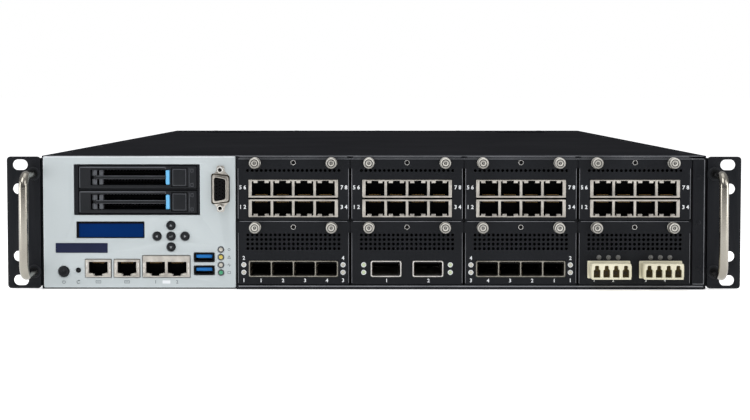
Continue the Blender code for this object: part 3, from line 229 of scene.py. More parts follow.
DIM_PLASTIC = replace(BLACK_PLASTIC, name="dim_moulding", colour=(0.036, 0.039, 0.043),
                      shade=(0.026, 0.028, 0.032), roughness=0.45)
# Near-black, darker than the black moulding: the colour of some black parts, and painted shade in cavities,
# holes, gaps and vent pads.
BLACK_AND_SHADE = replace(BLACK_PLASTIC, name="black_and_painted_shade", colour=(0.0045, 0.0045, 0.005),
               shade=(0.003, 0.003, 0.0035), roughness=0.7, specular=0.06)
BROWN = replace(BLACK_AND_SHADE, name="dull_spring", colour=(0.040, 0.032, 0.022), shade=(0.020, 0.016, 0.011))
# Painted shade: the dark amber that fills the adapters' keyholes, standing in for the shaded inside of the
# ivory moulding.
AMBER_SHADE = replace(BLACK_AND_SHADE, name="amber_lining", colour=(0.075, 0.056, 0.024), shade=(0.045, 0.033, 0.014))
BLUE = Finish("blue_lever", "blue_plastic", (0.13, 0.43, 0.70), (0.10, 0.36, 0.62), 0.36, relief=0.15)
USB_BLUE = replace(BLUE, name="blue_tongue", colour=(0.004, 0.13, 0.40), shade=(0.002, 0.085, 0.29),
                   specular=0.2)
IVORY = Finish("ivory_adapter", "ivory_plastic", (0.63, 0.60, 0.46), (0.54, 0.51, 0.38), 0.42, relief=0.12,
               specular=0.35)
GLASS = Finish("display_window", "display_glass", (0.0008, 0.0170, 0.088), (0.0006, 0.0130, 0.070), 0.3,
               relief=0.0, spread=0.04, glow=0.25, specular=0.02)
BADGE = Finish("navy_badge", "display_glass", (0.0120, 0.0160, 0.044), (0.009, 0.012, 0.034), 0.34,
               relief=0.03, specular=0.1)
BOARD = Finish("board_mask", "circuit_board", (0.030, 0.17, 0.075), (0.012, 0.10, 0.045), 0.4, 0.0,
               Pattern.TRACES, 110.0, 0.1, coat=0.3)
CHIP = Finish("chip_package", "black_plastic", (0.022, 0.022, 0.024), (0.015, 0.015, 0.017), 0.55,
              specular=0.3)
ALUMINIUM = Finish("brushed_aluminium", "aluminium", (0.62, 0.63, 0.64), (0.50, 0.51, 0.52), 0.34, 1.0,
                   Pattern.BRUSHED, 60.0, 0.06)
WHITE_PRINT = Finish("white_print", "silver_paint", (0.72, 0.74, 0.75), (0.62, 0.64, 0.66), 0.5)
# Painted highlight: a lighter silver for strips along the panel's top and left edges.
SILVER_EDGE_HIGHLIGHT = replace(SILVER, name="painted_silver_highlight", colour=(0.74, 0.77, 0.79), shade=(0.60, 0.63, 0.65))
PALE_PRINT = Finish("pale_print", "silver_paint", (0.26, 0.27, 0.28), (0.20, 0.21, 0.22), 0.5)
DARK_PRINT = Finish("dark_print", "black_plastic", (0.13, 0.15, 0.16), (0.10, 0.115, 0.12), 0.5)
LAMPS = {name: Finish(f"{name}_lamp", "ivory_plastic", colour, shade, 0.3, coat=0.4, glow=glow, relief=0.02)
         for name, colour, shade, glow in (
             ("white", (0.44, 0.42, 0.36), (0.36, 0.34, 0.29), 0.05),
             ("yellow", (0.54, 0.43, 0.07), (0.44, 0.34, 0.05), 0.10),
             ("green", (0.025, 0.26, 0.12), (0.018, 0.19, 0.085), 0.10),
             ("pale", (0.42, 0.48, 0.30), (0.34, 0.40, 0.24), 0.08),
             ("grey", (0.10, 0.10, 0.095), (0.07, 0.07, 0.065), 0.0))}
FLOOR = Finish("pale_floor", "silver_paint", (0.96, 0.96, 0.96), (0.95, 0.95, 0.95), 0.8, relief=0.02,
               glow=0.62,
               specular=0.1)

CARRIED = {"chassis_base": BLACK_COAT, "module_cage": BLACK_COAT, "drive_cage": BLACK_COAT}


def circle(x: float, z: float, radius: float, sides: int = 24, turn: float = 0.5) -> Flat:
    """A regular polygon on a circle, its first corner turned by a share of a side."""
    turns = [2 * math.pi * (k + turn) / sides for k in range(sides)]
    return [(x + radius * math.cos(t), z + radius * math.sin(t)) for t in turns]


def rounded(left: float, bottom: float, width: float, height: float, radius: float = 0.0,
            steps: int = 4) -> Flat:
    """A rectangle with round corners.

    Args:
        left: The lowest X.
        bottom: The lowest Z.
        width: Its size along X.
        height: Its size along Z.
        radius: Of the corners.
        steps: How many sides each corner has.

    Returns:
        The corners, anticlockwise.
    """
    if radius <= 0:
        return [(left, bottom), (left + width, bottom), (left + width, bottom + height),
                (left, bottom + height)]
    x0, x1, z0, z1 = left + radius, left + width - radius, bottom + radius, bottom + height - radius
    centres = ((x1, z0, -0.5), (x1, z1, 0.0), (x0, z1, 0.5), (x0, z0, 1.0))
    return [(x + radius * math.cos(math.pi * (start + 0.5 * k / steps)),
             z + radius * math.sin(math.pi * (start + 0.5 * k / steps)))
            for x, z, start in centres for k in range(steps + 1)]


def moved(outline: Flat, x: float, z: float, flip: bool = False) -> Flat:
    """An outline shifted, and turned upside down first where flip is set."""
    return [(px + x, (-pz if flip else pz) + z) for px, pz in outline]


def arc(radius: float, start: float, end: float, steps: int) -> Flat:
    """An arc about the origin, between two angles in degrees."""
    turns = [math.radians(start + (end - start) * k / steps) for k in range(steps + 1)]
    return [(radius * math.cos(t), radius * math.sin(t)) for t in turns]


def mirrored(right: Flat, x: float = 0.0, z: float = 0.0) -> Flat:
    """An outline about a middle, made from its right half and the same half mirrored."""
    return [(x + px, z + pz) for px, pz in right] + [(x - px, z + pz) for px, pz in right[::-1]]


def area(outline: Flat) -> float:
    """Twice the signed area of an outline, positive when it runs anticlockwise."""
    return sum(a[0] * b[1] - b[0] * a[1] for a, b in zip(outline, outline[1:] + outline[:1]))


def inset(outline: Flat, by: float) -> Flat:
    """An anticlockwise outline with each side moved in, or a clockwise one with each side moved out."""
    made = []
    for before, here, after in zip(outline[-1:] + outline[:-1], outline, outline[1:] + outline[:1]):
        first = Vector((here[0] - before[0], here[1] - before[1])).normalized()
        second = Vector((after[0] - here[0], after[1] - here[1])).normalized()
        inward = Vector((-first.y - second.y, first.x + second.x)) / max(1 + first.dot(second), 0.3)
        made.append((here[0] + inward.x * by, here[1] + inward.y * by))
    return made


def box_faces() -> list[list[int]]:
    """The faces of a box with cut edges: one for each way out, over the points that lie furthest that way."""
    faces = []
    for out in product((-1, 0, 1), repeat=3):
        if not any(out):
            continue
        across = Vector(out).orthogonal()
        up = Vector(out).cross(across)
        around = {}
        for n, (signs, axis) in enumerate(BOX_POINTS):
            if out[axis] and all(o in (0, sign) for o, sign in zip(out, signs)):
                corner = Vector([sign * (2 if k == axis else 1) for k, sign in enumerate(signs)])
                around[n] = math.atan2(corner.dot(up), corner.dot(across))
        faces.append(sorted(around, key=around.get))
    return faces


BOX_POINTS = list(product(product((-1, 1), repeat=3), range(3)))
BOX_FACES = box_faces()


class Shape:
    """Closed shells in millimetres that become one mesh."""

    def __init__(self) -> None:
        """Starts with nothing in it."""
        self.points: list[Vector] = []
        self.wires: list[tuple[int, int]] = []
        self.faces: list[tuple[int, ...]] = []

    def add(self, points: Iterable[Triple], faces: Iterable[Sequence[int]],
            place: Optional[Matrix] = None) -> "Shape":
        """Takes in points and faces.

        Args:
            points: The corners.
            faces: Corner numbers, running anticlockwise as seen from outside.
            place: Where the shell goes; a mirrored place has its faces turned round.

        Returns:
            The shape itself.
        """
        place = place or Matrix.Identity(4)
        first, step = len(self.points), -1 if place.determinant() < 0 else 1
        self.points += [place @ Vector(point) for point in points]
        self.faces += [tuple(first + k for k in face)[::step] for face in faces]
        return self

    def take(self, other: "Shape", place: Optional[Matrix] = None) -> "Shape":
        """Takes in a copy of another shape."""
        return self.add(other.points, other.faces, place)

    def box(self, low: Triple, high: Triple, edge: float = 0.0) -> "Shape":
        """A box with its edges cut back.

        Args:
            low: Its lowest corner.
            high: Its highest corner.
            edge: How far each edge is cut back.

        Returns:
            The shape itself.
        """
        low, high = Vector(low), Vector(high)
        middle, half = (low + high) / 2, (high - low) / 2
        cut = min(edge, 0.9 * min(half)) if edge else 0.0001 * min(half)
        points = [middle + Vector([signs[k] * (half[k] - (0 if k == axis else cut)) for k in range(3)])
                  for signs, axis in BOX_POINTS]
        return self.add(points, BOX_FACES)

    def plate(self, outline: Flat, holes: Iterable[Flat], front: float, back: float, edge: float = 0.0,
              place: Optional[Matrix] = None, steps: int = 3) -> "Shape":
        """A flat sheet in XZ with holes, its front edges rounded.

        Args:
            outline: The outer edge.
            holes: The edges of the holes.
            front: The Y of its front face.
            back: The Y of its back face.
            edge: The radius of its front edges.
            place: Where the sheet goes.
            steps: How many sides a rounded edge has.

        Returns:
            The shape itself.
        """
        loops = [outline if area(outline) > 0 else outline[::-1]]
        loops += [hole if area(hole) < 0 else hole[::-1] for hole in holes]
        turns = [0.5 * math.pi * k / steps for k in range(steps + 1)] if edge else [0.5 * math.pi]
        levels = [(edge * (1 - math.sin(t)), front + edge * (1 - math.cos(t))) for t in turns] + [(0.0, back)]
        points = [(x, y, z) for by, y in levels for loop in loops for x,
                  z in (inset(loop, by) if by else loop)]
        starts = [sum(len(loop) for loop in loops[:k]) for k in range(len(loops) + 1)]
        count = starts[-1]
        flat = [Vector((x, z, 0)) for x, _, z in points[:count]]
        split = [flat[start:end] for start, end in zip(starts, starts[1:])]
        filled = []
        for a, b, c in tessellate_polygon(split):
            turn = (flat[b] - flat[a]).cross(flat[c] - flat[a]).z
            filled.append((a, b, c) if turn > 0 else (a, c, b))
        faces = list(filled)
        faces += [tuple(k + count * (len(levels) - 1) for k in face[::-1]) for face in filled]
        for level in range(len(levels) - 1):
            a, b = level * count, (level + 1) * count
            for start, loop in zip(starts, loops):
                for k in range(len(loop)):
                    here, after = start + k, start + (k + 1) % len(loop)
                    faces.append((a + here, b + here, b + after, a + after))
        return self.add(points, faces, place)

    def skin(self, rings: Sequence[Sequence[Triple]], place: Optional[Matrix] = None) -> "Shape":
        """A shell closed at its ends, through rings of equal size, anticlockwise as seen from the first."""
        count = len(rings[0])
        points = [point for ring in rings for point in ring]
        faces = [tuple(range(count)), tuple(reversed(range(len(points) - count, len(points))))]
        for a in range(0, len(points) - count, count):
            faces += [(a + k, a + count + k, a + count + (k + 1) % count, a + (k + 1) % count)
                      for k in range(count)]
        return self.add(points, faces, place)

    def turned(self, profile: Flat, x: float, y: float, z: float, sides: int = 24,
               place: Optional[Matrix] = None) -> "Shape":
        """A shell turned about Y.

        Args:
            profile: Radius and depth pairs, from the middle of the front out and to the back.
            x: The axis's X.
            y: The Y where depth is 0.
            z: The axis's Z.
            sides: How many sides it has.
            place: Where the shell goes.

        Returns:
            The shape itself.
        """
        rings = [[(px, y + along, pz) for px, pz in circle(x, z, max(radius, 0.01), sides)]
                 for radius, along in profile]
        return self.skin(rings, place)

    def lines(self, path: Flat, width: float, front: float, back: float, closed: bool = False) -> "Shape":
        """A mark drawn with short bars along a path in XZ.

        Args:
            path: The corners of the mark.
            width: Of the stroke.
            front: The Y of its front face.
            back: The Y of its back face.
            closed: Whether the last corner joins the first.

        Returns:
            The shape itself.
        """
        ends = path[1:] + (path[:1] if closed else [])
        for (ax, az), (bx, bz) in zip(path, ends):
            run = Vector((bx - ax, bz - az))
            along = run.normalized() * width / 2
            across = Vector((-along.y, along.x))
            start, end = Vector((ax, az)) - along, Vector((bx, bz)) + along
            corners = [tuple(spot) for spot in (start - across, end - across, end + across, start + across)]
            self.plate(corners, [], front, back)
        return self

    def text(self, body: str, size: float, x: float, z: float, front: float, depth: float = 0.05) -> "Shape":
        """Raised digits centred on a place, facing the front.

        Args:
            body: The digits.
            size: Their font size.
            x: The middle's X.
            z: The middle's Z.
            front: The Y of their faces.
            depth: How thick they are.

        Returns:
            The shape itself.
        """
        curve = bpy.data.curves.new("digits", "FONT")
        curve.body, curve.size, curve.extrude = body, size, depth / 2
        curve.align_x, curve.align_y, curve.resolution_u = "CENTER", "CENTER", 2
        curve.offset = 0.018 * size
        holder = bpy.data.objects.new("digits", curve)
        mesh = bpy.data.meshes.new_from_object(holder)
        place = Matrix.Translation((x, front + depth / 2, z)) @ Matrix.Rotation(math.pi / 2, 4, "X")
        bpy.data.objects.remove(holder)
        bpy.data.curves.remove(curve)
        return self.read(mesh, place)

    def mesh(self, name: str = "shape") -> bpy.types.Mesh:
        """The shells as one mesh, still in millimetres."""
        made = bpy.data.meshes.new(name)
        made.from_pydata(self.points, self.wires, self.faces)
        made.validate()
        return made

    def read(self, mesh: bpy.types.Mesh, place: Optional[Matrix] = None) -> "Shape":
        """Takes in a mesh in millimetres and removes it."""
        self.add([v.co for v in mesh.vertices], [tuple(p.vertices) for p in mesh.polygons], place)
        bpy.data.meshes.remove(mesh)
        return self

    def wire(self, path: Sequence[Triple], closed: bool = False) -> "Shape":
        """Takes in a path as a wire without faces, for a tree that fills or thickens it."""
        first, count = len(self.points), len(path)
        self.points += [Vector(point) for point in path]
        self.wires += [(first + k, first + (k + 1) % count) for k in range(count if closed else count - 1)]
        return self


def facing(side: Facing, x: float = 0.0, y: float = 0.0, z: float = 0.0) -> Matrix:
    """A place whose front looks out of a side of the appliance."""
    return Matrix.Translation((x, y, z)) @ Matrix.Rotation(math.radians(side.value), 4, "Z")


def at(x: float = 0.0, y: float = 0.0, z: float = 0.0) -> Matrix:
    """A shift."""
    return Matrix.Translation((x, y, z))


def middle_of(node: str) -> Vector:
    """The middle of a node at rest, in millimetres."""
    low, high = box_of(node)
    return (low + high) / 2


def box_of(node: str) -> tuple[Vector, Vector]:
    """The lowest and highest corner of a node at rest, in millimetres."""
    low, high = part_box(node)
    return Vector(low) / MM, Vector(high) / MM


def piece(name: str, shape: Shape, finish: Finish, body: str = "root", stands_for: Sequence[str] = (),
          place: Optional[Matrix] = None) -> None:
    """Makes a finished piece and fixes it to its body.

    Args:
        name: The piece's name.
        shape: Its shells, in millimetres.
        finish: Its surface.
        body: The body that it moves with.
        stands_for: The nodes that it takes the place of.
        place: Where the shape goes.
    """
    mesh = Shape().take(shape, place).mesh(name)
    mesh.transform(Matrix.Scale(MM, 4))
    mesh.materials.append(finish.material())
    mesh.shade_smooth()
    mesh.set_sharp_from_angle(angle=SMOOTH_ANGLE)
    made = bpy.data.objects.new(name, mesh)
    bpy.context.scene.collection.objects.link(made)
    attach(made, body)
    if stands_for:
        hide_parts(*stands_for)
    log.info("%s: %d faces on %s", name, len(mesh.polygons), body)


class Tree:
    """A Geometry Nodes tree with named inputs, ending in Realize Instances and Set Material."""

    def __init__(self, name: str, sizes: Sequence[tuple[str, str, Union[float, int, Triple]]] = (),
                 parts: Sequence[str] = ()) -> None:
        """Starts the tree.

        Args:
            name: The tree's name.
            sizes: Name, socket kind and default of each input.
            parts: Names of inputs that take an object whose mesh is repeated.
        """
        self.group = bpy.data.node_groups.new(name, "GeometryNodeTree")
        face = self.group.interface
        face.new_socket("Geometry", in_out="INPUT", socket_type="NodeSocketGeometry")
        for label, kind, default in sizes:
            socket = face.new_socket(label, in_out="INPUT", socket_type=f"NodeSocket{kind}")
            socket.default_value = default
        for label in (*parts, "Finish"):
            kind = "Material" if label == "Finish" else "Object"
            face.new_socket(label, in_out="INPUT", socket_type=f"NodeSocket{kind}")
        face.new_socket("Geometry", in_out="OUTPUT", socket_type="NodeSocketGeometry")
        self.inputs = self.group.nodes.new("NodeGroupInput").outputs

    def node(self, kind: str, settings: Optional[dict] = None, **links: object) -> bpy.types.NodeSocket:
        """Adds a node.

        Args:
            kind: The node's type without its prefix, such as MeshLine.
            settings: Values for the node's own properties.
            links: For each input, by name with _ for a space, a socket or several to link or a value to set.

        Returns:
            The node's first output.
        """
        prefix = "ShaderNode" if kind in ("Math", "VectorMath", "CombineXYZ",
                                          "SeparateXYZ") else "GeometryNode"
        kind = kind if kind.startswith("FunctionNode") else prefix + kind
        made = self.group.nodes.new(kind)
        for key, value in (settings or {}).items():
            setattr(made, key, value)
        for key, value in links.items():
            wanted, index = key.replace("_", " "), 0
            if wanted[-1].isdigit():
                wanted, index = wanted[:-2], int(wanted[-1])
            socket = [s for s in made.inputs if s.name == wanted and s.enabled][index]
            for one in value if isinstance(value, list) else [value]:
                if isinstance(one, bpy.types.NodeSocket):
                    self.group.links.new(one, socket)
                else:
                    socket.default_value = one
        return made.outputs[0]

    def maths(self, operation: str, first: object, second: object) -> bpy.types.NodeSocket:
        """Adds a node that works out one number from two."""
        return self.node("Math", {"operation": operation}, Value_0=first, Value_1=second)

    def part(self, label: str) -> bpy.types.NodeSocket:
        """The mesh of an object input."""
        return self.node("ObjectInfo", Object=self.inputs[label]).node.outputs["Geometry"]

    def end(self, geometry: bpy.types.NodeSocket) -> "Tree":
        """Closes the tree.

        Args:
            geometry: What the tree makes.

        Returns:
            The tree itself.
        """
        real = self.node("RealizeInstances", Geometry=geometry)
        dressed = self.node("SetMaterial", Geometry=real, Material=self.inputs["Finish"])
        out = self.group.nodes.new("NodeGroupOutput")
        self.group.links.new(dressed, out.inputs["Geometry"])
        return self

    def run(self, base: Shape, finish: Finish, parts: Optional[dict[str, Shape]] = None,
            **sizes: object) -> Shape:
        """Evaluates the tree on a shape.

        Args:
            base: The shape whose points, wires or faces the tree starts from.
            finish: The material that the tree sets.
            parts: The shape for each object input.
            sizes: Values for the other inputs, by name with _ for a space.

        Returns:
            The result.
        """
        carrier = bpy.data.objects.new("base", base.mesh())
        bpy.context.scene.collection.objects.link(carrier)
        helpers = {label: bpy.data.objects.new(label, shape.mesh()) for label, shape in (parts or {}).items()}
        modifier = carrier.modifiers.new("tree", "NODES")
        modifier.node_group = self.group
        values = {key.replace("_", " "): value for key, value in sizes.items()}
        values.update({**helpers, "Finish": finish.material()})
        for item in self.group.interface.items_tree:
            if item.in_out == "INPUT" and item.name in values:
                modifier[item.identifier] = values[item.name]
        graph = bpy.context.evaluated_depsgraph_get()
        made = bpy.data.meshes.new_from_object(carrier.evaluated_get(graph))
        for used in (carrier, *helpers.values()):
            bpy.data.objects.remove(used)
        return Shape().read(made)


def outline_wires(loops: Iterable[Flat]) -> Shape:
    """Closed outlines in XZ as wires, for a tree that fills them."""
    made = Shape()
    for loop in loops:
        made.wire([(x, 0, z) for x, z in loop], True)
    return made


def perforated_tree() -> Tree:
    """Fills outlines in XZ, leaves out a grid of round holes, and gives the sheet its thickness."""
    tree = Tree("perforated_sheet", (("Columns", "Int", 21), ("Rows", "Int", 4), ("Pitch", "Float", 3.0),
                                     ("Row Pitch", "Float", 3.0), ("Radius", "Float", 1.0),
                                     ("Sides", "Int", 12),
                                     ("Centre", "Vector", (0.0, 0.0, 0.0)), ("Stagger", "Float", 0.0),
                                     ("Thickness", "Float", 1.2)))
    inputs, node, maths = tree.inputs, tree.node, tree.maths
    columns = node("MeshLine", Count=inputs["Columns"], Offset=(1.0, 0.0, 0.0))
    rows = node("MeshLine", Count=inputs["Rows"], Offset=(0.0, 0.0, 1.0))
    grid = node("RealizeInstances", Geometry=node("InstanceOnPoints", Points=rows, Instance=columns))
    index = node("SeparateXYZ", Vector=node("InputPosition")).node.outputs
    half_x, half_z = (maths("MULTIPLY", maths("SUBTRACT", inputs[name], 1.0), 0.5)
                      for name in ("Columns", "Rows"))
    shift = maths("MULTIPLY", maths("MODULO", index["Z"], 2.0), inputs["Stagger"])
    x = maths("MULTIPLY", maths("ADD", maths("SUBTRACT", index["X"], half_x), shift), inputs["Pitch"])
    z = maths("MULTIPLY", maths("SUBTRACT", index["Z"], half_z), inputs["Row Pitch"])
    spot = node("VectorMath", {"operation": "ADD"}, Vector_0=node("CombineXYZ", X=x, Z=z),
                Vector_1=inputs["Centre"])
    hole = node("CurvePrimitiveCircle", Resolution=inputs["Sides"], Radius=inputs["Radius"])
    holes = node("InstanceOnPoints", Points=node("SetPosition", Geometry=grid, Position=spot), Instance=hole,
                 Rotation=(math.pi / 2, 0.0, 0.0))
    edges = [node("MeshToCurve", Mesh=inputs["Geometry"]), node("RealizeInstances", Geometry=holes)]
    flat = node("Transform", Geometry=node("JoinGeometry", Geometry=edges), Rotation=(-math.pi / 2, 0.0, 0.0))
    sheet = node("Transform", Geometry=node("FillCurve", Curve=flat), Rotation=(math.pi / 2, 0.0, 0.0))
    thick = node("ExtrudeMesh", Mesh=sheet, Offset=node("CombineXYZ", Y=inputs["Thickness"]),
                 Offset_Scale=1.0,
                 Individual=False)
    both = node("JoinGeometry", Geometry=[sheet, thick])
    return tree.end(node("MergeByDistance", Geometry=both, Distance=0.001))


def row_tree() -> Tree:
    """Repeats a part along a grid of columns and rows, each step a vector."""
    tree = Tree("rows_of_parts", (("Count", "Int", 4), ("Step", "Vector", (1.0, 0.0, 0.0)),
                                  ("Rows", "Int", 1), ("Row Step", "Vector", (0.0, 0.0, 1.0))), ("Part",))
    inputs, node = tree.inputs, tree.node
    line = node("MeshLine", Count=inputs["Count"], Offset=inputs["Step"])
    rows = node("MeshLine", Count=inputs["Rows"], Offset=inputs["Row Step"])
    points = node("RealizeInstances", Geometry=node("InstanceOnPoints", Points=rows, Instance=line))
    return tree.end(node("InstanceOnPoints", Points=points, Instance=tree.part("Part")))


def ring_tree() -> Tree:
    """Repeats a part round the Y axis through the origin."""
    tree = Tree("ring_of_parts", (("Count", "Int", 24),), ("Part",))
    points = tree.node("MeshLine", Count=tree.inputs["Count"], Offset=(0.0, 0.0, 0.0))
    share = tree.maths("DIVIDE", tree.node("InputIndex"), tree.inputs["Count"])
    spun = tree.node("CombineXYZ", Y=tree.maths("MULTIPLY", share, 2 * math.pi))
    return tree.end(tree.node("InstanceOnPoints", Points=points, Instance=tree.part("Part"), Rotation=spun))


def place_tree() -> Tree:
    """Puts a part on each point of the base."""
    tree = Tree("parts_at_points", (), ("Part",))
    return tree.end(tree.node("InstanceOnPoints", Points=tree.inputs["Geometry"], Instance=tree.part("Part")))


def bar_tree() -> Tree:
    """Sweeps a round bar along the base's wire, with its corners bent to a radius and its ends closed."""
    tree = Tree("bent_bar", (("Bend", "Float", 7.5), ("Radius", "Float", 3.2), ("Sides", "Int", 24)))
    inputs, node = tree.inputs, tree.node
    wire = node("MeshToCurve", Mesh=inputs["Geometry"])
    bent = node("FilletCurve", {"mode": "POLY"}, Curve=wire, Count=10, Radius=inputs["Bend"])
    ring = node("CurvePrimitiveCircle", Resolution=inputs["Sides"], Radius=inputs["Radius"])
    return tree.end(node("CurveToMesh", Curve=bent, Profile_Curve=ring, Fill_Caps=True))


def scatter_tree() -> Tree:
    """Strews a part over the base's faces with a fixed seed, each one sized at random."""
    tree = Tree("strewn_parts", (("Density", "Float", 0.002), ("Seed", "Int", BOARD_SEED),
                                 ("Spacing", "Float", 6.0)), ("Part",))
    inputs, node = tree.inputs, tree.node
    points = node("DistributePointsOnFaces", {"distribute_method": "POISSON"}, Mesh=inputs["Geometry"],
                  Distance_Min=inputs["Spacing"], Density_Max=inputs["Density"], Seed=inputs["Seed"])
    size = node("FunctionNodeRandomValue", {"data_type": "FLOAT_VECTOR"}, Min=(0.5, 0.5, 0.5),
                Max=(1.4, 1.4, 1.3), Seed=inputs["Seed"])
    return tree.end(node("InstanceOnPoints", Points=points, Instance=tree.part("Part"), Scale=size))


PERFORATED = perforated_tree()
ROWS = row_tree()
RING = ring_tree()
PLACES = place_tree()
BAR = bar_tree()
SCATTER = scatter_tree()

UPWARD = Matrix.Rotation(-math.pi / 2, 4, "X")
FRONT = box_of("control_panel")[0].y
CHASSIS_LOW, CHASSIS_HIGH = box_of("chassis_base")
MODULE_NAMES = (*(f"copper_module_{k}" for k in (1, 2, 3, 4)), "sfp_module_1", "qsfp_module", "sfp_module_2",
                "fibre_module")


def row(part: Shape, finish: Finish, count: int, step: Triple, place: Optional[Matrix] = None) -> Shape:
    """A part repeated by a step, and then moved as a whole."""
    made = ROWS.run(Shape(), finish, {"Part": part}, Count=count, Step=step)
    return Shape().take(made, place)


def spread(part: Shape, finish: Finish, spots: Iterable[Triple]) -> Shape:
    """A part repeated on each of some spots."""
    return PLACES.run(Shape().add(spots, []), finish, {"Part": part})


def free_area(left: float, front: float, right: float, back: float, level: float) -> Shape:
    """The flat area of a board over which small parts are strewn."""
    corners = [(left, front, level), (right, front, level), (right, back, level), (left, back, level)]
    return Shape().add(corners, [(0, 1, 2, 3)])


def screw_head(radius: float, height: float, drive: str = "cross") -> Shape:
    """A pan head that looks out of the front, its flat underside at the origin.

    Args:
        radius: Of the head.
        height: How far it stands out.
        drive: Either cross or hex.

    Returns:
        The shape.
    """
    recess = 0.45 * radius
    if drive == "hex":
        profile = [(0.3 * radius, -0.25 * height), (recess, -0.3 * height), (recess, -height),
                   (0.85 * radius, -height), (radius, -0.7 * height), (radius, 0.0)]
        return Shape().turned(profile, 0, 0, 0, 12)
    arm, wide, floor = 0.55 * radius, 0.13 * radius, -0.4 * height
    corner = ((wide, -arm), (wide, -wide), (arm, -wide))
    cross = [spot for x, z in ((1, 0), (0, 1), (-1, 0), (0, -1))
             for spot in [(px * x - pz * z, px * z + pz * x) for px, pz in corner]]
    made = Shape().plate(circle(0, 0, radius, 16), [cross], -height, -0.35 * height, 0.12 * radius)
    return made.turned([(0.3 * radius, floor), (0.97 * radius, floor), (0.97 * radius, 0)], 0, 0, 0, 16)


@dataclass
class Thumbscrew:
    """A captive knurled screw at the top of a module's faceplate."""

    radius: float = 3.7
    length: float = 6.5
    ribs: int = 28

    def head(self) -> Shape:
        """The knurled head with its grooved face, and its neck and collar."""
        r, far = self.radius, -self.length
        made = Shape().turned([(1.0, far + 1.3), (1.05, far + 0.35), (1.25, far + 0.15), (2.0, far + 0.2),
                               (2.08, far + 1.2), (2.52, far + 1.2), (2.6, far + 0.1), (r - 0.4, far),
                               (r - 0.15, far + 0.35), (r - 0.15, -1.6), (r - 0.6, -1.3), (2.6, -1.2),
                               (2.6, 0.2)],
                              0, 0, 0, 32)
        made.turned([(2.7, -0.7), (r - 0.2, -0.7), (r, -0.5), (r, 0.05)], 0, 0, 0, 32)
        rib = Shape().box((-0.17, far + 0.9, r - 0.35), (0.17, -1.9, r - 0.09), 0.1)
        return made.take(RING.run(Shape(), NICKEL, {"Part": rib}, Count=self.ribs))

    def socket(self) -> Shape:
        """Painted shade: dark plates in the groove and at the bottom of the drive hole, which lie on the
        head.
        """
        far = -self.length
        groove = Shape().plate(circle(0, 0, 2.5, 28), [circle(0, 0, 2.1, 28)], far + 0.5, far + 1.18)
        return groove.plate(circle(0, 0, 0.98, 16), [], far + 0.6, far + 1.29)

    def pin(self) -> Shape:
        """The bright stub in the drive hole, cut across by a slot."""
        far = -self.length
        made = Shape()
        for side in (-1, 1):
            made.box((-0.5, far + 0.35, side * 0.36 - 0.2), (0.5, far + 0.65, side * 0.36 + 0.2), 0.1)
        return made


